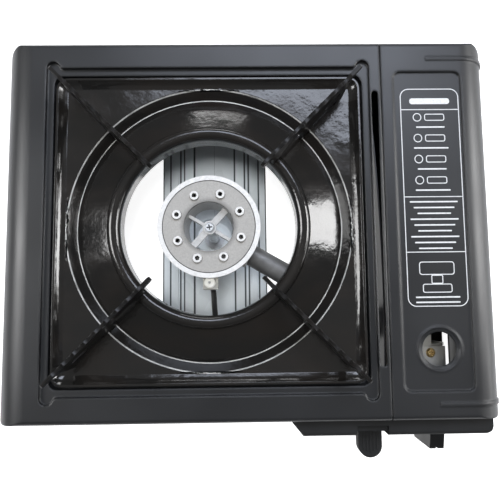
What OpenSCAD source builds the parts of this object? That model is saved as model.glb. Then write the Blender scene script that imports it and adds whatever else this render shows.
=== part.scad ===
// Table-top butane stove that runs on a push-in gas cartridge.
// The origin lies on the table, under the middle of the stove's overall box.
// +X is the cartridge side, +Y the back and +Z up. Millimetres.

/* [Body] */
// Width of the stove across the body and the cartridge cover
body_w = 340; // [339:1:345]
// Depth of the steel body from front to back
body_d = 259; // [257:1:264]
// Height of the deck above the table
deck_z = 84; // [83:1:88]
// Thickness of the painted steel sheet
sheet_t = 1; // [0.8:0.1:1.2]
// Radius of the long rounded edges at the left and right
side_r = 21; // [18:1:22]
// Radius of the folded edges at the front and back
edge_r = 3; // [2:0.5:5]
// Plan radius of the two back corners
back_corner_r = 13; // [10:1:14]
// Plan radius of the two front corners
front_corner_r = 7; // [5:1:9]
// Height of the body's lower edge above the table
base_z = 5; // [4:0.5:6]
// Width of the flange turned in along the lower edge
flange_w = 14; // [12:1:18]
// Side of the corner plates that carry the left feet
gusset_w = 30; // [26:1:34]

/* [Deck] */
// Distance of the burner axis from the middle of the stove, to the left
burner_offset = 27; // [25:0.5:28]
// Side of the square step pressed into the deck
recess_w = 223.5; // [222:0.5:225]
// Depth of that step
recess_depth = 3; // [2:0.5:4]
// Radius of the lobes at the four corners of the step
lobe_r = 4.6; // [4:0.2:5]
// Distance that the lobes reach past the step
lobe_reach = 4.7; // [4:0.1:5.5]
// Radius where a lobe runs into the side of the step
lobe_blend = 3; // [2.5:0.5:4]
// Side of the square tray opening
opening_w = 214; // [213:0.5:215]
// Plan radius of the opening's corners
opening_r = 6; // [5:0.5:8]
// Depth below the deck of the ledge that carries the tray
ledge_drop = 10; // [9:0.5:11]
// Width of that ledge
ledge_w = 6; // [5:0.5:7]
// Width of the air slot beside the cover
slot_w = 4.6; // [4:0.2:5]
// Length of the air slot
slot_l = 188.6; // [160:1:200]
// Distance from the seam to the middle of the air slot
slot_inset = 4.3; // [4.2:0.1:4.8]

/* [Drip tray] */
// Side of the square tray
tray_w = 210; // [208:0.5:211]
// Thickness of the enamelled tray sheet
tray_t = 1; // [0.8:0.1:1.2]
// Depth of the tray's edge below the deck
tray_drop = 1; // [0.6:0.2:1.6]
// Width of the sloping border
tray_border = 7; // [6:0.5:8]
// Depth of the flat below the tray's edge
tray_sink = 4; // [3:0.5:5]
// Outer radius of the pressed trough
trough_r = 97; // [95:0.5:97]
// Radius of the trough's lowest line
trough_low_r = 91; // [88:0.5:93]
// Depth of the trough below the flat
trough_depth = 5.4; // [4:0.2:6]
// Outer radius of the rolled rim round the opening
roll_r = 68.4; // [66:0.4:70]
// Radius of the opening over the burner
tray_hole_r = 59.4; // [57:0.4:61]
// Height of the rolled rim above the tray's edge
roll_rise = 6.5; // [5:0.5:8]
// Depth of the collar turned down inside the rim
collar_h = 12; // [8:1:14]

/* [Pan supports] */
// Height of the pan supports above the table
support_z = 112; // [110:1:116]
// Thickness of a support blade
support_t = 2.4; // [2:0.2:3]
// Radius from the burner axis to the inner tips
support_in_r = 49.7; // [47:0.5:52]
// Radius from the burner axis to the outer tips
support_out_r = 141.8; // [139:0.4:143]
// Spacing of the gripping waves along the top edge
wave_pitch = 9; // [8:0.5:11]
// Depth of the gripping waves
wave_depth = 1.2; // [0.8:0.2:1.6]

/* [Burner] */
// Outer radius of the burner's pale ring
burner_r = 34.6; // [33:0.2:36]
// Height of the burner ring above the table
burner_z = 87; // [85:1:90]
// Height of the burner body
burner_h = 25; // [23:1:27]
// Wall thickness of the burner casting
cast_t = 2.6; // [2.2:0.2:3]
// Radius of the cap plate
cap_r = 31.3; // [30:0.1:31.6]
// Thickness of the cap plate
cap_t = 3; // [2:0.5:3.5]
// Radius of the central air hole
core_r = 16.8; // [15:0.2:18]
// Number of flame ports
port_count = 8; // [6:1:10]
// Radius of the ring of flame ports
port_ring_r = 22.8; // [22:0.2:25]
// Radius of a flame port's boss
port_boss_r = 3; // [2.6:0.2:3.4]
// Radius of a flame port
port_r = 1.5; // [1:0.1:1.7]
// Height of the cross web below the ring
web_drop = 7; // [6:0.5:9]

/* [Gas path] */
// Angle of the mixing tube, clockwise from the cartridge side
tube_angle = 30.5; // [29:0.5:32]
// Height of the mixing tube's axis
tube_z = 55; // [52:1:56]
// Radius of the mixing tube at the burner
tube_r1 = 7.7; // [7:0.1:8]
// Radius of the mixing tube near the partition
tube_r2 = 8.5; // [8:0.1:9]
// Wall thickness of the mixing tube
tube_t = 1.4; // [1.2:0.1:1.8]
// Distance of the cartridge axis from the stove's right side
cart_in = 44; // [43:0.5:45]
// Height of the cartridge axis
cart_z = 42; // [41:0.5:43]
// Radius of the cartridge that the bay takes
cart_r = 33; // [32.5:0.5:33.5]
// Distance of the cartridge seat from the body's front
seat_in = 49; // [46.5:0.5:50.5]
// Radius of the valve spindle
spindle_r = 3; // [2.6:0.2:3.2]
// Distance of the knob's axis from the stove's right side
knob_in = 38; // [36:1:40]
// Height of the knob's axis
knob_z = 35; // [34:1:37]

/* [Cartridge cover] */
// Width of the cartridge cover
cover_w = 77; // [76.5:0.5:78]
// Gap between the cover and the deck
seam_gap = 0.6; // [0.5:0.1:1]
// Height of the cover's front and back lips
lip_h = 12; // [10:1:15]
// Depth of the sunk panel in the cover
sunk_depth = 1.2; // [0.8:0.2:1.6]
// Radius of the round sight window
window_r = 11.4; // [10:0.2:12]
// Radius of the pressed ring round the window
window_ring_r = 15.6; // [14.5:0.1:16.5]
// Distance of the window's middle from the body's front
window_in = 46; // [44:1:48]
// Distance of the hinge axis from the cover's outer side
hinge_inset = 13; // [12.5:0.5:14]
// Height of the hinge axis
hinge_z = 17; // [16:0.5:19]
// Radius of the hinge pins
hinge_pin_r = 1.5; // [1.2:0.1:1.8]

/* [Front panel] */
// Depth of the control panel
panel_d = 11.5; // [11:0.5:13]
// Height of the control panel's top
panel_z = 75; // [73:0.5:75]
// Width of the control panel
panel_w = 137; // [133:1:141]
// Distance of the panel's right end from the stove's right side
panel_in = 7; // [6:0.5:8]
// Slope of the panel's left end
panel_slope = 9.2; // [8:0.2:12]
// Wall thickness of the moulded panel
panel_t = 2; // [1.6:0.2:2.4]
// Depth of the pocket round the lock lever
pocket_depth = 2.3; // [2:0.1:2.6]
// Radius of the gas knob
knob_r = 20; // [18:0.5:21]
// Width of the knob's grip bar
grip_w = 10; // [8:0.5:12]
// Distance that the grip bar stands out from the panel
grip_reach = 15; // [12:0.5:17]

/* [Lock lever] */
// Distance of the lock lever from the stove's right side
lever_in = 87; // [87:0.5:88]
// Width of the lever's tab
lever_w = 16.5; // [15:0.5:17]
// Thickness of the lever's tab
lever_t = 8; // [6:0.5:9]
// Distance that the lock lever stands out from the body's front
lever_out = 30; // [27:0.5:33]
// Distance of the lever's axis behind the body's front
lever_axis_in = 17.5; // [16.5:0.5:19.5]
// Height of the lever's axis
lever_z = 55; // [54:0.5:56]
// Radius of the lever's shaft
lever_shaft_r = 3; // [2.5:0.1:3.2]
// Length of the crank that moves the cartridge clamp
crank_l = 12; // [11:0.5:13]

/* [Base plate] */
// Width of the ribbed base plate
plate_w = 84.6; // [80:0.2:88]
// Thickness of the base plate
plate_t = 0.8; // [0.6:0.1:1]
// Height of the ribs pressed into the base plate
bead_h = 2.4; // [1.8:0.2:3]
// Width of a rib
bead_w = 7.9; // [6.8:0.1:8]
// Distance of the inner ribs from the middle of the plate
bead_in = 20.6; // [20:0.2:21.5]
// Distance of the outer ribs from the middle of the plate
bead_out = 32; // [31:0.5:34]
// Radius of a rubber foot
foot_r = 9; // [8:0.5:10]

/* [Hidden] */

$fn = 64;
SMOOTH = 96;
WIDE = 720;
CUT = 1;
RUN = 0.05;
CLEAR = 0.4;
screw_r = 1.6;
screw_head_r = 2.8;
screw_head_h = 1.6;
bracket_t = 1.2;

// Body
right_x = body_w / 2;
back_y = body_d / 2;
front_y = -back_y;
inner_y = back_y - sheet_t;
origin_shift = lever_out / 2;
burner_x = -burner_offset;
seam_x = right_x - cover_w;
deck_edge_x = seam_x - seam_gap;
ledge_under = 6.6;
cart_x = right_x - cart_in;
knob_x = right_x - knob_in;
lever_x = right_x - lever_in;
lever_reach = back_y + lever_out;
lever_axis_y = back_y - lever_axis_in;
window_y = back_y - window_in;
floor_z = base_z + sheet_t;
pan_top_z = floor_z + sheet_t;
wall_top_z = deck_z - lip_h - CLEAR;

// Cover hinge and the floor pan that carries it
hinge_x = right_x - hinge_inset;
ear_r = hinge_pin_r + 1.9;
leg_x = hinge_x - ear_r;
leg_low_z = hinge_z + 8;
wall_end_x = leg_x - CLEAR;
pan_right_x = hinge_x + 5.6;
pan_wall_z = hinge_z + ear_r + 1;
pan_end_w = 20;
vent_w = 4.7;
vent_pitch = (body_d - 137) / 4;
ridge_x = 14;

// Feet
foot_stem_r = foot_r / 3;
foot_in = foot_r + 7;
foot_spots = [for (sy = [-1, 1], x = [foot_in - right_x, wall_end_x - foot_r - 1])
    [x, sy * (back_y - foot_in)]];

// Tray
ledge_z = deck_z - ledge_drop;
tray_edge_z = deck_z - tray_drop;
tray_flat_z = tray_edge_z - tray_sink;
trough_z = tray_flat_z - trough_depth;
roll_w = roll_r - tray_hole_r;
roll_mid_r = (roll_r + tray_hole_r) / 2;
roll_z = tray_edge_z + roll_rise - roll_w / 2;
fall = 1.15 * tray_t;

// Burner
cap_z = burner_z - cap_t;
bowl_z = burner_z - burner_h;
web_z = burner_z - web_drop;
web_t = 3;
hub_r = 4.7;
post_r = 4;
neck_r = tube_r1 + cast_t;
neck_end = burner_r - 1;
plate_z = floor_z;
plate_top_z = plate_z + plate_t;
dome_r = 19;
dome_h = 5;
post_foot_z = plate_top_z + dome_h;
electrode_y = -burner_r - 2.8;
bracket_z = burner_z - 11;
ceramic_r = 3.2;
ceramic_low_z = bowl_z - 3;
pin_r = 0.8;

// Partition and mixing tube
part_apex_x = seam_x - 2;
part_apex_y = -45;
part_r = 1630;
part_top_z = deck_z - recess_depth - sheet_t;
part_tab = 5;
pan_left_x = part_apex_x - 12;
tube_start = burner_r - 6;
tube_end = (part_apex_x - burner_x) / cos(tube_angle) - 2;
bell_r = tube_r2 + 2.6;
outlet_x = part_apex_x + 5;
outlet_y = -lever_axis_y + 12.5;
outlet_r = 3.9;
jet_y = -(outlet_x - burner_x) * tan(tube_angle);

// Regulator and seat
reg_w = 22;
reg_boss_r = 15;
reg_top_z = cart_z + 17;
reg_low_z = knob_z - 12;
reg_front_y = front_y + 11;
seat_face_y = front_y + seat_in;
reg_back_y = seat_face_y - 3;
inlet_r = 6;
nozzle_r = 3;
seal_t = 0.9;
plate_lift = 1.6;
locating_r = 17;

// Knob, cam and igniter
panel_face_y = front_y - panel_d;
knob_back_y = panel_face_y + 1.6;
spindle_end_y = reg_front_y + 16.5;
spindle_out = 8;
knob_turn = 115;
cam_r = 7;
cam_rise = 4;
cam_w = 4;
cam_mid_y = front_y + 6;
plunger_gap = 0.5;
plunger_r = 2;
unit_x1 = part_x(-inner_y) + part_tab + CLEAR;
unit_x2 = cart_x - reg_w / 2 - CLEAR;
unit_back_y = reg_front_y + 7.5;

// Lever and clamp
lever_low_z = lever_z - 17;
lever_top_z = lever_z + 6.5;
panel_right = right_x - panel_in;
panel_left = panel_right - panel_w;
pocket_x1 = lever_x - 12;
pocket_x2 = lever_x + 9.3;
panel_screw_l = 6;
panel_screw_spots = concat([for (x = [panel_left + 24, knob_x - 32], z = [base_z + 10, panel_z - 12]) [x, z]],
    [[panel_right - 19, panel_z - 12]]);
tab_back_y = front_y - 5;
arm_t = 3;
arm_h = 6;
ear_gap = 3.9;
bridge_w = 2 * ear_gap + bracket_t;
bearing_x = unit_x1 + 6;
crank_w = 3;
crank_pin_r = 2;
clamp_z = lever_z + crank_l;
clamp_t = 1.6;
clamp_travel = 4;
clamp_pin_r = 1.5;
clamp_arm_h = 10;
clamp_ahead = 7;
clamp_past = 6;
fork_half_w = 22;
fork_r = 13.4;
clamp_x = cart_x - fork_r - clamp_t;
crank_x = clamp_x - 2 * crank_w;
guide_x = clamp_x + clamp_t + 0.2;
guide_spots = [for (back = [8, 20]) back - lever_axis_y];

// Cover
sunk_w = cover_w - 29.8;
sunk_d = body_d - 40;
sunk_x = seam_x + 8.4 + sunk_w / 2;
sunk_y = -1.5;
window_x = sunk_x + 1;
rib_w = 2.5;
rib_t = 0.9;

// Route of the lead's centre line, from under the electrode to the igniter unit
lead_r = 2;
lead_end = [unit_x1 + 3.7, front_y + 10.5, knob_z - 9];
lead_route = [
    [burner_x, electrode_y, 59], [burner_x, electrode_y, 57], [burner_x, electrode_y, 55],
    [burner_x + 1.2, electrode_y - 6.6, 52], [burner_x + 2.2, electrode_y - 22.6, 52],
    [burner_x + 5, front_y + 48.5, 46], [burner_x + 12, front_y + 24.5, lead_end.z + 7],
    [burner_x + 27, lead_end.y, lead_end.z], lead_end - [66, 0, 0], lead_end - [34, 0, 0], lead_end
];
clip_spots = [lead_end.x - 62, lead_end.x - 38];

// ---------- helpers ----------

module placed() translate([0, origin_shift, 0]) children();

module at_burner() translate([burner_x, 0, 0]) children();

// A flat shape drawn in X and Z, made solid from y1 to y2.
module slab_y(y1, y2) translate([0, y2, 0]) rotate([90, 0, 0]) linear_extrude(y2 - y1) children();

// A flat shape drawn in Y and Z, made solid from x1 to x2.
module slab_x(x1, x2) translate([x1, 0, 0]) rotate([90, 0, 90]) linear_extrude(x2 - x1) children();

module slab_z(z1, z2) translate([0, 0, z1]) linear_extrude(z2 - z1) children();

module rod_y(r, y1, y2) translate([0, y1, 0]) rotate([-90, 0, 0]) cylinder(r = r, h = y2 - y1);

module rod_x(r, x1, x2) translate([x1, 0, 0]) rotate([0, 90, 0]) cylinder(r = r, h = x2 - x1);

module box(x1, x2, y1, y2, z1, z2) translate([x1, y1, z1]) cube([x2 - x1, y2 - y1, z2 - z1]);

// What a rounding of radius r takes away from a corner that lies at the origin.
module corner_waste(r) difference() {
    translate([-CUT, -CUT]) square(r + CUT);
    translate([r, r]) circle(r);
}

module rounded_square(w, d, r) difference() {
    square([w, d], center = true);
    for (sx = [0, 1], sy = [0, 1]) mirror([sx, 0]) mirror([0, sy])
        translate([-w / 2, -d / 2]) corner_waste(r);
}

module capsule(length, width) {
    square([length - width, width], center = true);
    for (side = [-1, 1]) translate([side * (length - width) / 2, 0]) circle(width / 2);
}

// Sweeps a section, drawn outwards from the corner centres, round a rounded square.
module rounded_frame(half, r) {
    run = half - r;
    for (turn = [0:3]) rotate(turn * 90) {
        translate([run, 0, 0]) rotate([90, 0, 0]) linear_extrude(2 * run, center = true) children();
        translate([run, run, 0]) rotate_extrude(angle = 90, $fn = SMOOTH) children();
    }
}

// Screw with its head's seat at the origin, its head upwards and a cross recess.
module pan_screw(shank_r, head_r, head_h, length) {
    translate([0, 0, -length]) cylinder(r = shank_r, h = length);
    difference() {
        cylinder(r1 = head_r, r2 = 0.7 * head_r, h = head_h);
        for (turn = [0, 90]) rotate(turn)
            translate([0, 0, head_h]) cube([head_r, head_r / 4, head_h], center = true);
    }
}

// ---------- body ----------

module body_plan(inset) {
    w = right_x - inset;
    d = back_y - inset;
    difference() {
        square([2 * w, 2 * d], center = true);
        for (sx = [0, 1]) mirror([sx, 0]) {
            translate([-w, -d]) corner_waste(front_corner_r - inset);
            mirror([0, 1]) translate([-w, -d]) corner_waste(back_corner_r - inset);
        }
    }
}

// Front view or side view of the body: a rectangle with its two upper corners rounded.
module body_view(half, top, low, r) difference() {
    translate([-half, low]) square([2 * half, top - low]);
    for (sx = [0, 1]) mirror([sx, 0]) translate([-half, top]) mirror([0, 1]) corner_waste(r);
}

// The outer form that the body and the cover share, drawn in by inset.
module stove_form(inset, low) {
    top = deck_z - inset;
    intersection() {
        slab_z(low, top) body_plan(inset);
        slab_y(front_y, back_y) body_view(right_x - inset, top, low, side_r - inset);
        slab_x(-right_x, right_x) body_view(back_y - inset, top, low, edge_r - inset);
    }
}

// The pressed step: a square whose corners reach forward and back as round lobes.
module recess_outline(grow) {
    half = recess_w / 2;
    lobe_y = half + lobe_reach - lobe_r;
    blend_y = half + lobe_blend;
    spread = lobe_r + lobe_blend - RUN;
    blend_x = sqrt(spread * spread - (blend_y - lobe_y) * (blend_y - lobe_y));
    blend_start = [-blend_x, half + grow];
    blend_end = [0, lobe_y] + (lobe_r + grow) / spread * [-blend_x, blend_y - lobe_y];
    square(2 * (half + grow), center = true);
    for (sx = [0, 1], sy = [0, 1]) mirror([sx, 0]) mirror([0, sy]) translate([half - lobe_r, 0]) {
        translate([0, lobe_y]) circle(lobe_r + grow);
        translate([-lobe_r - grow, 0]) square([2 * (lobe_r + grow), lobe_y]);
        difference() {
            polygon([[-blend_x, half - CUT], blend_start, blend_start + 1.3 * (blend_end - blend_start),
                [0, half - CUT]]);
            translate([-blend_x, blend_y]) circle(lobe_blend - grow);
        }
    }
}

module opening_outline(half, r) rounded_square(2 * half, 2 * half, r);

module deck_recess() {
    half = opening_w / 2;
    floor_top = deck_z - recess_depth;
    at_burner() difference() {
        union() {
            slab_z(floor_top - sheet_t, deck_z) recess_outline(sheet_t);
            slab_z(ledge_z - sheet_t, floor_top) opening_outline(half + sheet_t, opening_r + sheet_t);
        }
        slab_z(floor_top, deck_z + CUT) recess_outline(0);
        slab_z(ledge_z, deck_z) opening_outline(half, opening_r);
        slab_z(ledge_z - 2 * sheet_t, deck_z) opening_outline(half - ledge_w, opening_r - ledge_w / 2);
    }
}

module air_slot() translate([deck_edge_x - slot_inset, 0, deck_z - 2 * sheet_t])
    linear_extrude(3 * sheet_t) rotate(90) capsule(slot_l, slot_w);

// Edge of the deck along the seam: turned down, then out under the cover.
module seam_ledge() {
    low = deck_z - sheet_t - 1.6;
    reach = inner_y - sheet_t - CLEAR;
    box(deck_edge_x - sheet_t, deck_edge_x, -reach, reach, low, deck_z - sheet_t / 2);
    box(deck_edge_x - sheet_t, deck_edge_x + ledge_under, -reach, reach, low, low + sheet_t);
}

module base_flange() slab_z(base_z, floor_z) difference() {
    body_plan(0);
    square([2 * (right_x - flange_w), 2 * (back_y - flange_w)], center = true);
    translate([right_x - flange_w - CUT, flange_w - back_y]) square([2 * flange_w, 2 * (back_y - flange_w)]);
}

module foot_plates() slab_z(base_z, floor_z) intersection() {
    body_plan(sheet_t / 2);
    for (spot = foot_spots) translate(spot) square(gusset_w, center = true);
}

module body_shell() placed() color("#3b3d40") difference() {
    union() {
        difference() {
            stove_form(0, base_z);
            stove_form(sheet_t, base_z - CUT);
            box(deck_edge_x, right_x + CUT, -body_d, body_d, wall_top_z, deck_z + CUT);
            at_burner() slab_z(deck_z - 2 * sheet_t, deck_z + CUT) recess_outline(sheet_t / 2);
        }
        deck_recess();
        seam_ledge();
        base_flange();
        foot_plates();
    }
    box(wall_end_x, right_x + CUT, -body_d, body_d, 0, deck_z + CUT);
    air_slot();
    front_wall_holes();
    foot_holes();
    base_screw_spots() cylinder(r = screw_r, h = 4 * sheet_t, center = true);
}

module foot_holes() for (spot = foot_spots)
    translate([spot.x, spot.y, base_z - CUT]) cylinder(r = foot_stem_r, h = 4 * sheet_t);

module base_screw_spots() for (sx = [-1, 1], sy = [-1, 1])
    translate([burner_x + sx * (plate_w / 2 - 6), sy * (back_y - flange_w / 2 - sheet_t), plate_top_z])
        children();

module front_wall_holes() slab_y(front_y - CUT, -inner_y + CUT) {
    translate([knob_x, knob_z]) circle(cam_r + cam_rise + 2);
    translate([lever_x - arm_t / 2 - 2, lever_low_z - 2]) square([arm_t + 4, lever_top_z - lever_low_z + 4]);
    for (spot = panel_screw_spots) translate(spot) circle(screw_r);
}

// ---------- inside sheets ----------

// A long flat arc in plan, bowed towards the cartridge.
module partition_plan() translate([part_apex_x - part_r, part_apex_y]) difference() {
    circle(part_r, $fn = WIDE);
    circle(part_r - sheet_t, $fn = WIDE);
}

function part_x(y) = part_apex_x - part_r + sqrt(part_r * part_r - (y - part_apex_y) * (y - part_apex_y));

module partition() placed() color("#4a4c50") difference() {
    union() {
        slab_z(pan_top_z, part_top_z) intersection() {
            partition_plan();
            square(2 * inner_y, center = true);
        }
        for (side = [-1, 1]) translate([part_x(side * inner_y), side * (inner_y - sheet_t / 2), 0])
            box(-sheet_t, part_tab, -sheet_t / 2, sheet_t / 2, pan_top_z, wall_top_z - 4);
    }
    tube_axis() rod_x(bell_r + 2, tube_end - 30, tube_end + 20);
    translate([0, -lever_axis_y, lever_z]) rod_x(lever_shaft_r + 1, part_apex_x - 12, part_apex_x + 6);
    translate([0, lead_end.y, lead_end.z]) rod_x(lead_r + RUN, part_apex_x - 12, part_apex_x + 6);
}

module floor_ridge(inset, low) {
    ridge_top = cart_z - sqrt(cart_r * cart_r - ridge_x * ridge_x);
    polygon([[-7 + inset, low], [-2 + inset / 2, ridge_top - inset], [2 - inset / 2, ridge_top - inset],
        [7 - inset, low]]);
}

module floor_ridges(inset, low) slab_y(seat_face_y + 10 + inset, back_y - 28.5 - inset)
    for (sx = [-1, 1]) translate([cart_x + sx * ridge_x, 0]) floor_ridge(inset, low);

// End wall of the floor pan, with the lug that takes the cover's hinge pin.
module pan_end_outline() difference() {
    union() {
        translate([hinge_x - pan_end_w, floor_z])
            square([pan_right_x - hinge_x + pan_end_w, pan_wall_z - floor_z]);
        translate([hinge_x, hinge_z]) circle(ear_r);
    }
    translate([hinge_x - pan_end_w, pan_wall_z]) mirror([0, 1]) corner_waste(8);
}

module bay_floor() placed() color("#44464a") {
    reach = inner_y - CLEAR;
    wall_reach = back_y - back_corner_r - 2;
    difference() {
        union() {
            box(pan_left_x, pan_right_x, -reach, reach, floor_z, pan_top_z);
            box(pan_right_x - sheet_t, pan_right_x, -wall_reach, wall_reach, floor_z, pan_wall_z);
            floor_ridges(0, floor_z);
            for (sy = [0, 1]) mirror([0, sy, 0]) slab_y(-reach, sheet_t - reach) pan_end_outline();
        }
        floor_ridges(sheet_t, floor_z - CUT);
        for (sy = [0, 1]) mirror([0, sy, 0]) translate([hinge_x, 0, hinge_z])
            rod_y(hinge_pin_r, -reach - CUT, sheet_t - reach + CUT);
        slab_z(floor_z - CUT, pan_top_z + CUT) {
            for (side = [-1, 1]) translate([pan_right_x - 3.8, 2 * side * vent_pitch])
                rotate(90) capsule(3 * vent_pitch, vent_w);
            for (i = [-2:2]) translate([cart_x, i * vent_pitch]) capsule(12, 5);
        }
        foot_holes();
    }
}

module bead_pattern(grow) rotate(90) {
    reach = back_y - flange_w - 6;
    gap = burner_r - 10;
    for (sx = [-1, 1]) {
        translate([0, sx * bead_out]) capsule(2 * reach + 2 * grow, 0.57 * bead_w + 2 * grow);
        translate([sx * (reach + gap) / 2, -bead_in]) capsule(reach - gap + 2 * grow, bead_w + 2 * grow);
    }
    translate([0, bead_in]) capsule(2 * reach + 2 * grow, bead_w + 2 * grow);
}

module base_plate() placed() color("#c9d0d6") difference() {
    at_burner() {
        slab_z(plate_z, plate_top_z) square([plate_w, 2 * inner_y], center = true);
        slab_z(plate_z, plate_top_z + bead_h) bead_pattern(0);
        translate([0, 0, plate_z]) cylinder(r1 = dome_r, r2 = dome_r - dome_h, h = dome_h + plate_t);
    }
    at_burner() {
        slab_z(plate_z - CUT, plate_z + bead_h) bead_pattern(-plate_t);
        translate([0, 0, plate_z - CUT]) cylinder(r1 = dome_r - plate_t + CUT, r2 = dome_r - plate_t - dome_h,
            h = dome_h + CUT);
        cylinder(r = screw_r, h = post_foot_z + CUT);
    }
    base_screw_spots() cylinder(r = screw_r, h = 4 * sheet_t, center = true);
}

module base_screws() placed() color("#b9bcc0") base_screw_spots() pan_screw(screw_r, 3.2, 1.8, 5);

module foot(spot) placed() color("#1d1d1e") translate([spot.x, spot.y, 0]) {
    rotate_extrude() polygon([[0, 0], [foot_r - 1, 0], [foot_r, 1], [foot_r - 0.8, base_z], [0, base_z]]);
    cylinder(r = foot_stem_r, h = foot_grip_z(spot));
    translate([0, 0, foot_grip_z(spot)])
        cylinder(r1 = foot_stem_r + 1, r2 = foot_stem_r - 1, h = 3);
}

// Height at which a foot's stem comes out of the sheets that it holds.
function foot_grip_z(spot) = spot.x > pan_left_x ? pan_top_z : floor_z;

// ---------- burner ----------

module burner_post() placed() color("#b4b7ba") at_burner() difference() {
    union() {
        translate([0, 0, post_foot_z]) cylinder(r = 2 * post_r, h = 2);
        translate([0, 0, post_foot_z]) cylinder(r = post_r, h = web_z - web_t - post_foot_z);
    }
    for (z = [post_foot_z - CUT, web_z - web_t - 9]) translate([0, 0, z]) cylinder(r = screw_r, h = 9 + CUT);
}

module post_screw() placed() color("#b9bcc0") at_burner() translate([0, 0, post_foot_z - plate_t])
    mirror([0, 0, 1]) pan_screw(screw_r, 3.4, 2, 8);

module tube_axis() at_burner() rotate(-tube_angle) translate([0, 0, tube_z]) children();

module burner_bowl() at_burner() rotate_extrude($fn = SMOOTH) difference() {
    polygon([[core_r - 1.4, bowl_z + 1], [core_r - 0.4, bowl_z], [burner_r - 10, bowl_z],
        [burner_r - 3, bowl_z + 7], [burner_r - 1, burner_z - 6], [burner_r, burner_z - 4],
        [burner_r, burner_z], [cap_r + RUN, burner_z], [cap_r + RUN, cap_z], [core_r, cap_z]]);
    polygon([[core_r + cast_t - 1.4, bowl_z + cast_t], [burner_r - 11, bowl_z + cast_t],
        [burner_r - 3 - cast_t, bowl_z + 8], [cap_r - 1.8, burner_z - 7], [cap_r - 1.8, cap_z + CUT],
        [core_r + cast_t - 0.6, cap_z + CUT]]);
}

module cross_web() {
    translate([0, 0, web_z - web_t]) cylinder(r = hub_r, h = web_t);
    intersection() {
        union() {
            rotate(48) translate([0, 0, web_z - 0.7 * web_t])
                cube([3 * core_r, 4.7, 0.8 * web_t], center = true);
            rotate(-31) translate([0, 0, web_z - web_t - 2])
                cube([3 * core_r, 2.3, 2 * web_t], center = true);
        }
        cylinder(r = core_r - 0.2, h = burner_z);
    }
}

module burner_body() placed() color("#d9d9d6") difference() {
    union() {
        burner_bowl();
        intersection() {
            tube_axis() rod_x(neck_r, core_r - 3, neck_end);
            at_burner() difference() {
                cylinder(r = burner_r, h = bowl_z + cast_t + CUT);
                cylinder(r = core_r - 1, h = burner_z);
            }
        }
        at_burner() cross_web();
    }
    tube_axis() {
        rod_x(tube_r1 - tube_t, core_r + 2, tube_start + CUT);
        rod_x(tube_r1, tube_start, neck_end + 6);
    }
    at_burner() {
        rotate(-tube_angle) translate([tube_start - 5, 0, tube_z]) cylinder(r = 4.6, h = 12);
        cylinder(r = post_r, h = web_z - web_t);
        cylinder(r = screw_r, h = burner_z);
    }
}

module burner_cap() placed() color("#bdbdbb") at_burner() difference() {
    union() {
        translate([0, 0, cap_z]) difference() {
            cylinder(r = cap_r, h = cap_t, $fn = SMOOTH);
            translate([0, 0, -CUT]) cylinder(r = core_r, h = cap_t + 2 * CUT);
        }
        flame_ports() translate([0, 0, -cap_t / 2])
            cylinder(r1 = port_boss_r + 0.9, r2 = port_boss_r, h = cap_t / 2 + 1.8);
    }
    flame_ports() translate([0, 0, -cap_t - CUT]) cylinder(r = port_r, h = 3 * cap_t);
}

module flame_ports() for (i = [0:port_count - 1]) rotate(25.2 + i * 360 / port_count)
    translate([port_ring_r, 0, burner_z]) children();

module burner_screw() placed() color("#d2d4d6") at_burner() translate([0, 0, web_z])
    pan_screw(screw_r, 3.7, 2.4, 10);

// The tube widens towards the cartridge side and ends in a flared mouth round the gas jet.
module mixing_tube() placed() color("#8d8e8e") tube_axis() rotate([0, 90, 0])
    rotate_extrude($fn = SMOOTH) difference() {
        polygon([[0, tube_start], [tube_r1, tube_start], [tube_r1, neck_end + 8], [tube_r2, tube_end - 12],
            [bell_r, tube_end - 3], [bell_r, tube_end], [0, tube_end]]);
        polygon([[0, tube_start - CUT], [tube_r1 - tube_t, tube_start - CUT],
            [tube_r1 - tube_t, neck_end + 8], [tube_r2 - tube_t, tube_end - 12],
            [bell_r - tube_t, tube_end - 2.6], [bell_r - tube_t, tube_end + CUT], [0, tube_end + CUT]]);
    }

// ---------- drip tray and pan supports ----------

// Sheet between two points of the tray's section, hanging below its upper face.
module sheet_strip(a, b) polygon([a, b, [b.x, b.y - fall], [a.x, a.y - fall]]);

// Right-hand half of the dish: trough, cone up to the rim, rolled rim and turned-down collar.
module tray_dish_profile() {
    trough = [trough_low_r, trough_z];
    sheet_strip([trough_r + 0.6, tray_flat_z], trough);
    sheet_strip(trough, [roll_r, roll_z]);
    translate([roll_mid_r, roll_z]) intersection() {
        difference() {
            circle(roll_w / 2);
            circle(roll_w / 2 - tray_t);
        }
        translate([-roll_w, -0.01]) square([2 * roll_w, roll_w]);
    }
    translate([tray_hole_r, roll_z - collar_h]) square([tray_t, collar_h]);
    translate([roll_r - tray_t, roll_z - 1.5 * fall]) square([tray_t, 1.5 * fall]);
}

// Everything on and below the dish's upper face, which the blades are cut to.
module dish_space_profile() {
    low = trough_z - 12;
    polygon([[trough_r + 0.6, tray_flat_z], [trough_low_r, trough_z], [roll_r, roll_z], [tray_hole_r, roll_z],
        [tray_hole_r, low], [trough_r + 0.6, low]]);
    translate([roll_mid_r, roll_z]) circle(roll_w / 2);
}

module tray_border_profile(r) {
    brow = tray_edge_z - 0.6;
    sheet_strip([r - tray_border, tray_flat_z], [r - 2, brow]);
    polygon([[r - 2, brow - fall], [r - 2, brow], [r - 1.2, tray_edge_z], [r - 0.6, tray_edge_z], [r, brow],
        [r, brow - fall]]);
    translate([r - tray_t, ledge_z]) square([tray_t, brow - fall / 2 - ledge_z]);
}

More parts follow.
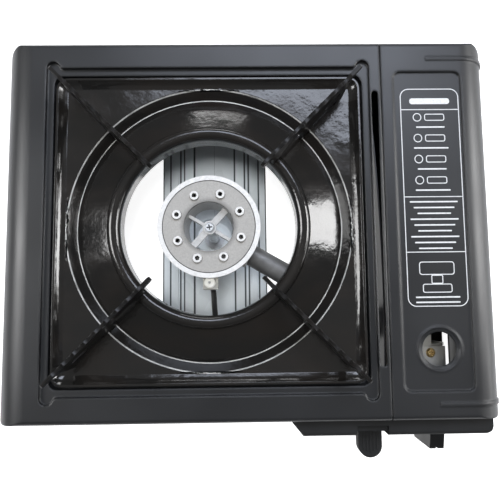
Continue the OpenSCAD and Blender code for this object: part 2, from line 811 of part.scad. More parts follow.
module drip_tray() placed() color("#1b1a19") at_burner() {
    r = tray_border + 1;
    flat_w = tray_w - 2 * tray_border + 1;
    rounded_frame(tray_w / 2, r) tray_border_profile(r);
    slab_z(tray_flat_z - fall, tray_flat_z) difference() {
        rounded_square(flat_w, flat_w, 1.4);
        circle(trough_r, $fn = SMOOTH);
    }
    rotate_extrude($fn = SMOOTH) tray_dish_profile();
}

// Side view of a blade: x is the distance from the burner axis, y the height above the table.
module blade_outline() {
    top = support_z;
    nose_r = 4;
    shoulder = support_out_r - 10.8;
    heel = shoulder - 7;
    foot_low = trough_z - 4;
    arch_r = (trough_low_r - roll_r) / 2;
    web_low = tray_flat_z + 7;
    difference() {
        union() {
            polygon([[support_in_r, top], [shoulder, top], [shoulder, foot_low], [tray_hole_r + 1, foot_low],
                [tray_hole_r + 1, top - 3.4 * nose_r], [support_in_r + 1.8 * nose_r, top - 2 * nose_r],
                [support_in_r, top - 2 * nose_r]]);
            polygon([[shoulder - 1, top], [support_out_r - 1, top], [support_out_r, top - 1],
                [support_out_r - 1, top - 2.6], [shoulder + 3, top - 5.6], [shoulder - 1, top - 10]]);
        }
        translate([support_in_r, top]) mirror([0, 1]) corner_waste(nose_r);
        translate([support_in_r, top - 2 * nose_r]) corner_waste(nose_r);
        translate([roll_r - 1 + arch_r, top - 13 - arch_r]) circle(arch_r);
        translate([roll_r - 1, foot_low - CUT]) square([2 * arch_r, top - 13 - arch_r - foot_low + CUT]);
        translate([trough_r + 3, foot_low - CUT]) difference() {
            square([heel - trough_r - 3, web_low - foot_low + CUT]);
            for (sx = [0, 1]) translate([sx * (heel - trough_r - 3), web_low - foot_low + CUT])
                mirror([sx, 0]) mirror([0, 1]) corner_waste(2.5);
        }
        translate([shoulder - 13.6, tray_flat_z + 16]) rotate(16) capsule(15, 7);
        for (r = [support_in_r + 6:wave_pitch:shoulder - 2])
            translate([r, top + wave_pitch - wave_depth]) circle(wave_pitch);
    }
}

module support(turn) placed() color("#262523") at_burner() difference() {
    rotate(turn) slab_y(-support_t / 2, support_t / 2) blade_outline();
    rotate_extrude($fn = SMOOTH) dish_space_profile();
    slab_z(0, tray_flat_z) difference() {
        square(tray_w, center = true);
        circle(trough_r, $fn = SMOOTH);
    }
}

// ---------- igniter ----------

module electrode_bracket() placed() color("#c6c2b6") at_burner() {
    plate_front = electrode_y - 3.4;
    difference() {
        union() {
            box(-4.7, 5, plate_front, electrode_y + 3.6, bracket_z, bracket_z + bracket_t);
            box(-4.7, 5, plate_front - bracket_t, plate_front, bowl_z - bracket_t, bracket_z + bracket_t);
            box(-4.7, 5, plate_front, -core_r - 3, bowl_z - bracket_t, bowl_z);
        }
        translate([0, electrode_y, bowl_z - 2 * bracket_t]) cylinder(r = ceramic_r, h = burner_h);
        bracket_screw_spot() cylinder(r = screw_r, h = 4 * bracket_t, center = true);
    }
}

module bracket_screw_spot() translate([0, -core_r - 5.6, bowl_z - bracket_t]) children();

module bracket_screw() placed() color("#b9bcc0") at_burner() bracket_screw_spot()
    mirror([0, 0, 1]) pan_screw(screw_r, screw_head_r, screw_head_h, bracket_t);

module electrode_ceramic() placed() color("#eceae4") at_burner() translate([0, electrode_y, 0]) difference() {
    union() {
        translate([0, 0, ceramic_low_z]) cylinder(r = ceramic_r, h = burner_z - 6 - ceramic_low_z);
        translate([0, 0, bracket_z + bracket_t]) cylinder(r = ceramic_r + 0.6, h = 2);
    }
    cylinder(r = pin_r, h = burner_z);
}

module electrode_pin() placed() color("#8b8780") at_burner() translate([0, electrode_y, ceramic_low_z])
    cylinder(r = pin_r, h = burner_z - 2 - ceramic_low_z);

function unit(v) = v / norm(v);

// Point on the smooth curve through the route, a share t of the way from its point i to the next.
function route_point(p, i, t) =
    let (before = p[max(i - 1, 0)], after = p[min(i + 2, len(p) - 1)], step = p[i + 1] - before)
    0.5 * (2 * p[i] + step * t + (2 * before - 5 * p[i] + 4 * p[i + 1] - after) * t * t
        + (3 * p[i] - before - 3 * p[i + 1] + after) * t * t * t);

function route_curve(p, steps) = concat(
    [for (i = [0:len(p) - 2], k = [0:steps - 1]) route_point(p, i, k / steps)], [p[len(p) - 1]]);

function route_ring(p, i, r, sides) =
    let (along = unit(p[min(i + 1, len(p) - 1)] - p[max(i - 1, 0)]),
        u = unit(cross(along, [1, 1, 1])), v = cross(along, u))
    [for (k = [0:sides - 1]) p[i] + r * (cos(k * 360 / sides) * u + sin(k * 360 / sides) * v)];

module sweep(curve, r, sides) {
    last = len(curve) - 1;
    polyhedron([for (i = [0:last]) each route_ring(curve, i, r, sides)], concat(
        [[for (k = [0:sides - 1]) k]],
        [for (i = [0:last - 1], k = [0:sides - 1]) let (n = (k + 1) % sides)
            [i * sides + k, (i + 1) * sides + k, (i + 1) * sides + n, i * sides + n]],
        [[for (k = [sides - 1:-1:0]) last * sides + k]]));
}

module igniter_lead() placed() color("#141414") sweep(route_curve(lead_route, 3), lead_r, 8);

module lead_clips() placed() color("#b9bcc0") for (x = clip_spots) difference() {
    box(x - 3, x + 3, -inner_y, lead_end.y + lead_r + 1, lead_end.z - lead_r - 1, lead_end.z + lead_r + 1);
    translate([0, lead_end.y, lead_end.z]) rod_x(lead_r, x - 4, x + 4);
}

module igniter_unit() placed() color("#232427") difference() {
    union() {
        box(unit_x1, unit_x2, -inner_y, unit_back_y, knob_z - 13, knob_z + 7);
        translate([0, cam_mid_y, knob_z]) rod_x(2 * plunger_r, unit_x2 - 8, unit_x2 + 1.5);
    }
    translate([0, cam_mid_y, knob_z]) rod_x(plunger_r + RUN, unit_x2 - 12, unit_x2 + 2);
    translate([0, lead_end.y, lead_end.z]) rod_x(lead_r, unit_x1 - CUT, unit_x1 + 6);
}

module igniter_plunger() placed() color("#c8a24a") translate([0, cam_mid_y, knob_z]) {
    tip = knob_x - cam_r - plunger_gap;
    rod_x(plunger_r, unit_x2 - 6, tip - plunger_r);
    translate([tip - plunger_r, 0, 0]) sphere(r = plunger_r);
}

// ---------- regulator and cartridge seat ----------

module regulator_body() placed() color("#c9c4b4") difference() {
    union() {
        box(cart_x - reg_w / 2, cart_x + reg_w / 2, reg_front_y, reg_back_y, reg_low_z, reg_top_z);
        translate([cart_x, 0, cart_z]) rod_y(reg_boss_r, reg_back_y - 16, reg_back_y);
        translate([0, outlet_y, tube_z]) rod_x(outlet_r, outlet_x, cart_x);
        translate([outlet_x, 0, tube_z]) rod_y(outlet_r, outlet_y, jet_y);
        translate([outlet_x, outlet_y, tube_z]) sphere(r = outlet_r);
        translate([outlet_x, jet_y, tube_z]) {
            sphere(r = outlet_r);
            rotate(180 - tube_angle) rod_x(outlet_r, 0, outlet_r + 0.6);
        }
    }
    translate([knob_x, 0, knob_z]) rod_y(spindle_r + RUN, reg_front_y - CUT, spindle_end_y + CUT);
    translate([cart_x, 0, cart_z]) rod_y(inlet_r, reg_back_y - 12, reg_back_y + CUT);
    translate([outlet_x, jet_y, tube_z]) rotate(180 - tube_angle) rod_x(1.5, 0, 8);
    regulator_screw_spots() translate([0, 0, -8]) cylinder(r = screw_r, h = 12);
}

module regulator_screw_spots() for (y = [reg_back_y - 4.5, reg_back_y - 22])
    translate([cart_x + 1.8, y, reg_top_z + bracket_t]) children();

// Diaphragm housing under the regulator, with its crimped rim.
module regulator_cap() placed() color("#b7b2a4") translate([cart_x, reg_back_y - 16, reg_low_z])
    rotate_extrude() polygon([[0, 0], [reg_boss_r, 0], [reg_boss_r, -1.6], [reg_boss_r - 2, -2.4],
        [reg_boss_r - 3.4, -5], [reg_boss_r - 7, -6.6], [0, -6.6]]);

module regulator_bracket() placed() color("#cfccc0") difference() {
    half = reg_w / 2 + bracket_t;
    union() {
        box(cart_x - half, cart_x + half, -inner_y, reg_back_y, reg_top_z, reg_top_z + bracket_t);
        box(cart_x - half, cart_x + half, -inner_y, bracket_t - inner_y, reg_top_z - 10, reg_top_z);
        box(cart_x + half - bracket_t, cart_x + half, reg_front_y, reg_back_y, reg_top_z - 6, reg_top_z);
        box(guide_x, guide_x + bracket_t, reg_front_y, reg_back_y - 4, reg_top_z, clamp_z + 5);
    }
    regulator_screw_spots() cylinder(r = screw_r, h = 6, center = true);
    clamp_pin_spots() rod_x(1.5, -CUT, 2 * bracket_t);
}

module regulator_screws() placed() color("#c9a35a") regulator_screw_spots() pan_screw(screw_r, 3.4, 2, 7);

module gas_jet() placed() color("#c19a4b") translate([outlet_x, jet_y, tube_z])
    rotate(180 - tube_angle) rotate([0, 90, 0]) difference() {
        union() {
            cylinder(r = 1.5, h = 6);
            translate([0, 0, outlet_r + 0.6]) cylinder(r = 3.6, h = 2.4, $fn = 6);
            translate([0, 0, outlet_r + 3]) cylinder(r1 = 2.4, r2 = 1.4, h = 2.6);
        }
        cylinder(r = 0.4, h = 20, $fn = 24);
    }

// Brass seat that the cartridge's collar is pulled against; the bore takes its nozzle.
module inlet_seat() placed() color("#c19a4b") translate([cart_x, 0, cart_z]) difference() {
    union() {
        rod_y(inlet_r, reg_back_y - 10, seat_face_y);
        rod_y(inlet_r + 3, reg_back_y, reg_back_y + plate_lift);
    }
    rod_y(nozzle_r, seat_face_y - 9, seat_face_y + CUT);
    rod_y(nozzle_r + 2 * seal_t, seat_face_y - 3, seat_face_y - 3 + 2 * seal_t);
}

module nozzle_seal() placed() color("#202020") translate([cart_x, seat_face_y - 3 + seal_t, cart_z])
    rotate([90, 0, 0]) rotate_extrude() translate([nozzle_r + seal_t, 0]) circle(seal_t, $fn = 32);

module locating_plate() placed() color("#d8d3c4") {
    tab_z = cart_z + locating_r;
    slab_y(reg_back_y, reg_back_y + plate_lift) translate([cart_x, cart_z]) difference() {
        union() {
            circle(locating_r);
            translate([-7, 0]) square([10, tab_z - cart_z]);
        }
        circle(inlet_r + 3);
    }
    box(cart_x - 7, cart_x + 3, reg_back_y, seat_face_y + 5, tab_z - plate_lift, tab_z);
}

// ---------- knob and spindle ----------

// Round shaft with a flat on top along the stretch that the knob grips.
module keyed_rod(grow, y1, y2) difference() {
    rod_y(spindle_r, y1 - grow, y2);
    box(-spindle_r - CUT, spindle_r + CUT, y1 - 2 * CUT, knob_back_y + grow, 0.6 * spindle_r,
        spindle_r + CUT);
}

module valve_spindle() placed() color("#b3b5b8") translate([knob_x, 0, knob_z])
    keyed_rod(0, panel_face_y - spindle_out, spindle_end_y);

module spindle_cam() placed() color("#e2e0da") translate([knob_x, 0, knob_z]) difference() {
    y1 = cam_mid_y - cam_w / 2;
    y2 = cam_mid_y + cam_w / 2;
    union() {
        rod_y(cam_r - 1, y1, y2);
        slab_y(y1, y2) cam_lobe();
    }
    rod_y(spindle_r, y1 - CUT, y2 + CUT);
}

// The lobe grows evenly against the knob's turn, so that it presses the plunger evenly.
module cam_lobe() polygon(concat([[1, -2]], [for (turn = [0:5:knob_turn])
    (cam_r + cam_rise * turn / knob_turn) * [cos(180 - turn), sin(180 - turn)]]));

module knob() placed() color("#2a2b2d") translate([knob_x, 0, knob_z]) {
    tip_y = panel_face_y - grip_reach;
    difference() {
        union() {
            translate([0, knob_back_y, 0]) rotate([90, 0, 0]) rotate_extrude($fn = SMOOTH)
                polygon([[0, 0], [knob_r - 1, 0], [knob_r, 1], [knob_r, 3.4], [knob_r - 1.2, 4.8], [0, 4.8]]);
            intersection() {
                slab_x(-grip_w / 2, grip_w / 2) polygon([[knob_back_y, -knob_r], [panel_face_y - 3, -knob_r],
                    [tip_y, 3 - knob_r], [tip_y, knob_r - 3], [panel_face_y - 3, knob_r],
                    [knob_back_y, knob_r]]);
                rod_y(knob_r, tip_y, knob_back_y);
            }
        }
        box(-0.8, 0.8, tip_y - CUT, tip_y + 0.8, 6, knob_r + CUT);
        keyed_rod(0, panel_face_y - 8, knob_back_y + CUT);
    }
}

// ---------- control panel ----------

module panel_plan(inset) {
    lean = 1.4 * inset;
    face = panel_face_y + inset;
    right = panel_right - inset;
    back = front_y + inset;
    difference() {
        polygon([[panel_left + lean, back], [panel_left + panel_slope + lean, face], [right, face],
            [right, back]]);
        translate([right, face]) mirror([1, 0]) corner_waste(6 - inset);
    }
}

module panel_form(inset) intersection() {
    slab_z(base_z + inset, panel_z - inset) panel_plan(inset);
    slab_x(panel_left, panel_right) difference() {
        translate([panel_face_y, base_z]) square([panel_d + CUT, panel_z - base_z]);
        translate([panel_face_y + inset, panel_z - inset]) mirror([0, 1]) corner_waste(3);
    }
}

// Set-back round the lock lever, open at the front and at the top.
module lever_pocket(grow) {
    box(pocket_x1 - grow, pocket_x2 + grow, panel_face_y - CUT, panel_face_y + pocket_depth + grow,
        lever_low_z - 18 - grow, panel_z + CUT);
    box(pocket_x1 - grow, pocket_x2 + grow, panel_face_y - CUT, front_y - 5 + grow, panel_z - 4 - grow,
        panel_z + CUT);
}

module knob_pocket(grow) translate([knob_x, 0, knob_z])
    rod_y(knob_r + 1 + grow, panel_face_y - CUT, knob_back_y + CLEAR + grow);

module control_panel() placed() color("#323437") difference() {
    union() {
        difference() {
            panel_form(0);
            difference() {
                panel_form(panel_t);
                lever_pocket(panel_t);
                knob_pocket(panel_t);
            }
        }
        for (spot = panel_screw_spots) translate([spot.x, 0, spot.y]) rod_y(4, panel_face_y + 1, front_y);
    }
    lever_pocket(0);
    knob_pocket(0);
    box(lever_x - lever_w / 2 - 0.5, lever_x + lever_w / 2 + 0.5, panel_face_y - CUT, front_y + CUT,
        lever_low_z, lever_top_z);
    translate([knob_x, 0, knob_z]) rod_y(spindle_r + 1, panel_face_y - CUT, front_y + CUT);
    for (spot = panel_screw_spots) translate([spot.x, 0, spot.y])
        rod_y(screw_r, front_y - panel_screw_l - 1, front_y + CUT);
    box(deck_edge_x, right_x, front_y - CLEAR, front_y + CUT, wall_top_z, deck_z);
    box(wall_end_x, right_x, front_y - CLEAR, front_y + CUT, 0, deck_z);
}

module panel_screws() placed() color("#9a9da1") for (spot = panel_screw_spots)
    translate([spot.x, -inner_y, spot.y]) rotate([-90, 0, 0])
        pan_screw(screw_r, screw_head_r, screw_head_h, panel_screw_l);

// ---------- lock lever and clamp ----------

module lever_tab() placed() color("#35373a") translate([lever_x, 0, lever_z]) difference() {
    half = lever_w / 2;
    tip = -lever_reach;
    rib_w = 1;
    union() {
        slab_z(-lever_t / 2, lever_t / 2) {
            translate([0, tip + half]) circle(half);
            translate([-half, tip + half]) square([lever_w, tab_back_y - tip - half]);
        }
        for (i = [-2:2]) slab_z(0, lever_t / 2 + 0.6)
            translate([2.4 * i, tip + 11]) rotate(90) capsule(15 - 2 * abs(i), rib_w);
    }
    box(-arm_t / 2, arm_t / 2, tip + 6, tab_back_y + CUT, -arm_h / 2, arm_h / 2);
}

module lever_arm() placed() color("#a9acb0") slab_x(lever_x - arm_t / 2, lever_x + arm_t / 2)
    translate([0, lever_z]) difference() {
        union() {
            translate([6 - lever_reach, -arm_h / 2]) square([lever_reach - lever_axis_y - 6, arm_h]);
            translate([-lever_axis_y, 0]) circle(lever_shaft_r + 4);
        }
        translate([-lever_axis_y, 0]) circle(lever_shaft_r);
    }

module lever_shaft() placed() color("#a9acb0") translate([0, -lever_axis_y, lever_z]) {
    rod_x(lever_shaft_r, lever_x - ear_gap - 2, crank_x + crank_w);
    slab_x(crank_x, crank_x + crank_w) {
        circle(lever_shaft_r + 2.5);
        translate([-3, 0]) square([6, crank_l]);
        translate([0, crank_l]) circle(3);
    }
    translate([0, 0, crank_l]) rod_x(crank_pin_r, crank_x, clamp_x + clamp_t + RUN);
}

module bearing_ear(drop) difference() {
    union() {
        translate([-inner_y, lever_z - drop]) square([inner_y - lever_axis_y + 3, 2 * drop]);
        translate([-lever_axis_y, lever_z]) circle(lever_shaft_r + 3);
    }
    translate([-lever_axis_y, lever_z]) circle(lever_shaft_r + RUN);
}

// Bridge over the lever's window in the front wall, with an ear on each side of the lever arm.
module lever_bracket() placed() color("#9fa2a6") {
    box(lever_x - bridge_w / 2, lever_x + bridge_w / 2, -inner_y, bracket_t - inner_y, lever_top_z + 3,
        lever_top_z + 8);
    for (side = [-1, 1]) translate([lever_x + side * ear_gap, 0, 0])
        slab_x(-bracket_t / 2, bracket_t / 2) difference() {
            union() {
                translate([-inner_y, lever_top_z + 3]) square([inner_y - lever_axis_y + 6, 5]);
                translate([-lever_axis_y - 6, lever_z]) square([12, lever_top_z + 8 - lever_z]);
                translate([-lever_axis_y, lever_z]) circle(6);
            }
            translate([-lever_axis_y, lever_z]) circle(lever_shaft_r + RUN);
        }
}

module shaft_bearing() placed() color("#9fa2a6") {
    slab_x(bearing_x, bearing_x + bracket_t) bearing_ear(5);
    box(bearing_x - 6, bearing_x + bracket_t, -inner_y, bracket_t - inner_y, lever_z - 5, lever_z + 5);
}

module clamp_pin_spots() for (y = guide_spots) translate([guide_x, y, clamp_z]) children();

module clamp_pins() placed() color("#c7c9cc") clamp_pin_spots() {
    rod_x(clamp_pin_r, -clamp_t - 0.6, bracket_t);
    rod_x(3.2, -clamp_t - 1.4, -clamp_t - 0.4);
}

// Fork that pulls the cartridge's collar to the seat, on an arm that slides along the bracket.
module cartridge_clamp() placed() color("#b9b6aa") {
    fork_y = seat_face_y + clamp_ahead;
    difference() {
        union() {
            slab_x(clamp_x, clamp_x + clamp_t)
                translate([-lever_axis_y - clamp_past, clamp_z - clamp_arm_h / 2])
                    square([lever_axis_y + clamp_past + fork_y + clamp_t, clamp_arm_h]);
            slab_y(fork_y, fork_y + clamp_t) difference() {
                union() {
                    translate([cart_x - fork_half_w, reg_low_z])
                        square([2 * fork_half_w, reg_top_z - reg_low_z]);
                    translate([cart_x - fork_half_w, cart_z])
                        square([fork_half_w - fork_r, clamp_z + clamp_arm_h / 2 - cart_z]);
                }
                translate([cart_x, cart_z]) circle(fork_r);
                translate([cart_x - fork_r, cart_z]) square([2 * fork_r, deck_z]);
            }
        }
        slab_x(clamp_x - CUT, clamp_x + clamp_t + CUT) {
            translate([-lever_axis_y, clamp_z]) rotate(90)
                capsule(2 * crank_pin_r + 3, 2 * crank_pin_r + 2 * RUN);
            for (y = guide_spots) translate([y + clamp_travel / 2, clamp_z])
                capsule(2 * clamp_pin_r + clamp_travel + 0.4, 2 * (clamp_pin_r + RUN));
        }
    }
}

// ---------- cartridge cover ----------

module sunk_outline(grow) translate([sunk_x, sunk_y])
    rounded_square(sunk_w + 2 * grow, sunk_d + 2 * grow, 5 + grow);

module cover_cut() {
    box(-body_w, seam_x, -body_d, body_d, 0, deck_z + CUT);
    box(-body_w, leg_x, -body_d, body_d, 0, deck_z - lip_h);
    box(-body_w, body_w, -body_d, body_d, 0, leg_low_z);
}

// Stiffening rib pressed outwards over the cover's long rounded edge.
module cover_rib(y) intersection() {
    difference() {
        slab_y(y - rib_w / 2, y + rib_w / 2)
            body_view(right_x + rib_t, deck_z + rib_t / 2, 0, side_r + rib_t / 2);
        stove_form(sheet_t, 0);
    }
    box(sunk_x + sunk_w / 2 - 24, right_x + 2 * rib_t, y - rib_w, y + rib_w, leg_low_z + 6, deck_z + rib_t);
}

module hinge_ears() for (sy = [0, 1]) mirror([0, sy, 0]) slab_y(front_y, -inner_y) {
    translate([hinge_x, hinge_z]) circle(ear_r);
    translate([hinge_x - ear_r, hinge_z]) square([2 * ear_r, leg_low_z + 1 - hinge_z]);
}

module cartridge_cover() placed() color("#4a4c50") {
    panel_top = deck_z - sunk_depth;
    difference() {
        union() {
            difference() {
                stove_form(0, hinge_z);
                stove_form(sheet_t, 0);
                cover_cut();
            }
            slab_z(panel_top - sheet_t, deck_z - sheet_t / 2) sunk_outline(sheet_t);
            for (y = [inner_y - 11, 9 - inner_y]) cover_rib(y);
            hinge_ears();
        }
        slab_z(panel_top, deck_z + CUT) sunk_outline(0);
        translate([window_x, -window_y, 0]) cylinder(r = window_ring_r - 0.6, h = deck_z + CUT);
        for (sy = [0, 1]) mirror([0, sy, 0]) translate([hinge_x, 0, hinge_z])
            rod_y(hinge_pin_r + RUN, front_y - CUT, CUT - inner_y);
    }
    window_ring();
}

// Pressed bead round the sight window, falling to the window's rim.
module window_ring() translate([window_x, -window_y, deck_z - sunk_depth]) rotate_extrude($fn = SMOOTH)
    polygon([[window_r, -1.8], [window_r + 1.2, -1.8], [window_ring_r - 1.2, -0.5], [window_ring_r, -sheet_t],
        [window_ring_r, 0], [window_ring_r - 1.2, 0.7], [window_r + 1.4, -0.7], [window_r, -0.8]]);

module hinge_pins() placed() color("#a9acb0") for (sy = [0, 1]) mirror([0, sy, 0])
    translate([hinge_x, 0, hinge_z]) {
        lug = -inner_y + CLEAR + sheet_t;
        head_y = front_y - 0.3;
        rod_y(hinge_pin_r + 0.7, head_y - 1, head_y);
        rod_y(hinge_pin_r, head_y - CUT / 2, lug + 0.5);
        rod_y(hinge_pin_r + 0.9, lug, lug + 1);
    }

body_shell();
partition();
bay_floor();
base_plate();
base_screws();
foot(foot_spots[0]);  // foot_front_left
foot(foot_spots[1]);  // foot_front_right
foot(foot_spots[2]);  // foot_back_left
foot(foot_spots[3]);  // foot_back_right
burner_post();
burner_body();
burner_cap();
burner_screw();
post_screw();
mixing_tube();
drip_tray();
support(225);  // support_front_left
support(315);  // support_front_right
support(135);  // support_back_left
support(45);  // support_back_right
electrode_bracket();
bracket_screw();
electrode_ceramic();
electrode_pin();
igniter_lead();
lead_clips();
igniter_unit();
igniter_plunger();
regulator_body();
regulator_cap();
regulator_bracket();
regulator_screws();
gas_jet();
inlet_seat();
nozzle_seal();
locating_plate();
valve_spindle();
spindle_cam();
knob();
control_panel();
panel_screws();
lever_tab();
lever_arm();
lever_shaft();
lever_bracket();
shaft_bearing();
cartridge_clamp();
clamp_pins();
cartridge_cover();
hinge_pins();
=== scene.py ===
"""Looks of the cassette stove: its finishes, printed marks, floor, lamps and camera."""
import logging
import math
from collections.abc import Iterable, Sequence
from dataclasses import KW_ONLY, dataclass, field, replace
from enum import Enum
from functools import cache
from typing import ClassVar

import bmesh
import bpy
from mathutils import Matrix, Vector


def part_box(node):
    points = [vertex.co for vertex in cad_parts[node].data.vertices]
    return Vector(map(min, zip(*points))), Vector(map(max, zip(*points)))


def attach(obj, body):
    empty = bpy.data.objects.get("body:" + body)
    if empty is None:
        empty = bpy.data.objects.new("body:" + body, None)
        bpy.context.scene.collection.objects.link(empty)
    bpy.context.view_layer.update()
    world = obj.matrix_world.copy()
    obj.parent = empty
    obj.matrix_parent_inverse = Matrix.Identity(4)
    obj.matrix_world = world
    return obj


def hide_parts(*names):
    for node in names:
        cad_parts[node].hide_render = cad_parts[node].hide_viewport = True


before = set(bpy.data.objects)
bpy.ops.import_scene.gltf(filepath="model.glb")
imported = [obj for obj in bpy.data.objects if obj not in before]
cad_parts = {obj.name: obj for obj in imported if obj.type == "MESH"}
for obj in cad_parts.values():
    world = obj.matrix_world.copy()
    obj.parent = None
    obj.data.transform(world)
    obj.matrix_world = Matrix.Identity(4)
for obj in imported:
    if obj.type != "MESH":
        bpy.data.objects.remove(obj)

LOG = logging.getLogger("stove")
MM = 0.001
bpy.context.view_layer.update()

Pair = tuple[float, float]
Point = tuple[float, float, float]
Colour = tuple[float, float, float]
Socket = bpy.types.NodeSocket
Mesh = bmesh.types.BMesh

BURNER_AXIS: Pair = (-0.027, 0.015)

# Spans of a pattern's values: all, what noise mostly has, and its middle.
FULL: Pair = (0.0, 1.0)
NOISE: Pair = (0.3, 0.7)
MIDDLE: Pair = (0.35, 0.65)

# The full part of a line's half width, and the rays that soften an edge.
LINE_CORE = 0.4
EDGE_RAYS = 6

# Half the angle in a corner that needs no rounding, and where a rounding starts, in tangents.
NEARLY_STRAIGHT = 1.55
EASE = 1.15

# The largest corner radius, as a share of the shorter side, and the edges in a corner.
CORNER_LIMIT = 0.499
PLATE_CORNER = 8
RING_CORNER = 12


class Body(Enum):
    """The bodies of the stove that new pieces ride on."""

    STOVE = "body"
    TRAY = "tray"
    COVER = "cover"


class Slot(Enum):
    """The record's material slots that new pieces are listed under; nothing here reads them."""

    COVER_PAINT = "painted_cover"
    ENAMEL = "black_enamel"
    ZINC = "zinc_steel"
    CASTING = "burner_casting"
    PANEL = "panel_plastic"


# ---------- materials ----------


def with_alpha(value: object) -> object:
    """Gives a colour its fourth number, and leaves anything else as it is."""
    return (*value, 1.0) if isinstance(value, tuple) else value


@dataclass(frozen=True)
class Pattern:
    """Cloudy noise on Object coordinates.

    It has cells to the metre, octaves, a weight of the finer ones, called its grit, and the
    span of its values that a tone follows. It may be turned by degrees about Z and stretched.
    """

    cells: float
    octaves: float
    span: Pair = NOISE
    stretch: Point | None = None
    turn: float = 0.0
    grit: float = 0.5


class NodeTree:
    """A node tree, with the few steps that materials and surroundings are made of."""

    def __init__(self, owner: bpy.types.Material | bpy.types.World) -> None:
        """Starts an empty tree.

        Args:
            owner: The material or the world that the tree belongs to.
        """
        owner.use_nodes = True
        self.tree = owner.node_tree
        self.tree.nodes.clear()

    def add(
        self, kind: str, values: dict[str | int, object] | None = None, **settings: object
    ) -> bpy.types.Node:
        """Adds a node.

        Args:
            kind: The node's type, without the word ShaderNode.
            values: Inputs, by name or number, with their values or sockets.
            settings: The node's own settings.

        Returns:
            The node.
        """
        node = self.tree.nodes.new(f"ShaderNode{kind}")
        for name, setting in settings.items():
            setattr(node, name, setting)
        for key, value in (values or {}).items():
            self.feed(node.inputs[key], value)
        return node

    def feed(self, target: Socket, value: object) -> None:
        """Gives an input its value, or links it where the value is a socket.

        Args:
            target: The input.
            value: The number, colour or vector, or the socket.
        """
        if isinstance(value, Socket):
            self.tree.links.new(value, target)
        else:
            target.default_value = value

    def calculate(self, operation: str, *values: object, use_clamp: bool = False) -> Socket:
        """Works out a number from others.

        Args:
            operation: What to do with them, such as ADD.
            values: Numbers or value sockets.
            use_clamp: Whether the result is held between 0 and 1.

        Returns:
            The value socket.
        """
        settings = {"operation": operation, "use_clamp": use_clamp}
        return self.add("Math", dict(enumerate(values)), **settings).outputs["Value"]

    def ranged(self, value: Socket, span: Pair, result: Pair = FULL) -> Socket:
        """Maps a value from one range to another and holds it there.

        Args:
            value: The value socket.
            span: The values that give the two results.
            result: The results.

        Returns:
            The result socket.
        """
        names = ("From Min", "From Max", "To Min", "To Max")
        ends = dict(zip(names, (*span, *result)))
        return self.add("MapRange", {"Value": value, **ends}).outputs["Result"]


class Graph(NodeTree):
    """The tree of a material with one Principled shader, and the patterns of its finish."""

    def __init__(self, name: str) -> None:
        """Starts a material.

        Args:
            name: The material's name.
        """
        self.material = bpy.data.materials.new(name)
        super().__init__(self.material)
        self.shader = self.add("BsdfPrincipled")
        self.add("OutputMaterial", {"Surface": self.shader.outputs["BSDF"]})
        self.place = self.add("TexCoord").outputs["Object"]

    def set(self, **values: object) -> None:
        """Sets the shader's own inputs; an underscore in a name stands for a space.

        Args:
            values: Input names with their numbers, colours or sockets.
        """
        for name, value in values.items():
            self.feed(self.shader.inputs[name.replace("_", " ")], with_alpha(value))

    def overlay(self, mask: Socket, colour: Colour) -> None:
        """Lays a colour over the shader's own where a mask is 1."""
        base = self.shader.inputs["Base Color"].links[0].from_socket
        self.set(Base_Color=self.blend(mask, base, colour))

    def noise(self, pattern: Pattern) -> Socket:
        """Cloudy noise.

        Args:
            pattern: Its cells, octaves and direction.

        Returns:
            The noise's value socket, mostly within the span NOISE.
        """
        place = self.place
        if pattern.stretch:
            about_z = (0.0, 0.0, math.radians(pattern.turn))
            values = {"Vector": place, "Rotation": about_z, "Scale": pattern.stretch}
            place = self.add("Mapping", values).outputs["Vector"]
        values = {"Scale": pattern.cells, "Detail": pattern.octaves, "Roughness": pattern.grit}
        return self.add("TexNoise", {"Vector": place, **values}).outputs["Fac"]

    def blend(self, share: Socket, first: Colour | Socket, second: Colour | Socket) -> Socket:
        """Mixes two colours.

        Args:
            share: Socket that goes from 0, the first colour, to 1, the second.
            first: A colour or a colour socket.
            second: A colour or a colour socket.

        Returns:
            The colour socket.
        """
        values = {"Factor": share, "A": with_alpha(first), "B": with_alpha(second)}
        return self.add("Mix", values, data_type="RGBA").outputs["Result"]

    def from_axis(self, axis: Pair) -> Socket:
        """Distance of a point from an upright axis.

        Args:
            axis: The axis's place along X and Y.

        Returns:
            The value socket, in metres.
        """
        values = {0: self.place, 1: (1.0, 1.0, 0.0)}
        flat = self.add("VectorMath", values, operation="MULTIPLY").outputs["Vector"]
        values = {0: flat, 1: (*axis, 0.0)}
        return self.add("VectorMath", values, operation="DISTANCE").outputs["Value"]

    def lines_at(self, value: Socket, places: Iterable[float], half: float) -> Socket:
        """A mask that is 1 where a value is at one of the places.

        Args:
            value: The value socket.
            places: The values at which the lines lie.
            half: How far from its place a line has fallen to 0.

        Returns:
            The mask's socket.
        """
        mask = None
        for place in places:
            offset = self.calculate("ABSOLUTE", self.calculate("SUBTRACT", value, place))
            line = self.ranged(offset, (LINE_CORE * half, half), (1.0, 0.0))
            mask = line if mask is None else self.calculate("MAXIMUM", mask, line)
        return mask

    def soft_edges(self, radius: float) -> Socket:
        """Normals that round the mesh's sharp edges by a radius in metres."""
        return self.add("Bevel", {"Radius": radius}, samples=EDGE_RAYS).outputs["Normal"]

    def bump(self, height: Socket, strength: float, distance: float, normal: Socket) -> Socket:
        """Small relief.

        Args:
            height: Value socket of the relief.
            strength: Weight of the relief, 0 to 1.
            distance: Height in metres that a value of 1 stands for.
            normal: Normals that the relief is added to.

        Returns:
            The normal socket.
        """
        values = {"Height": height, "Strength": strength, "Distance": distance, "Normal": normal}
        return self.add("Bump", values).outputs["Normal"]


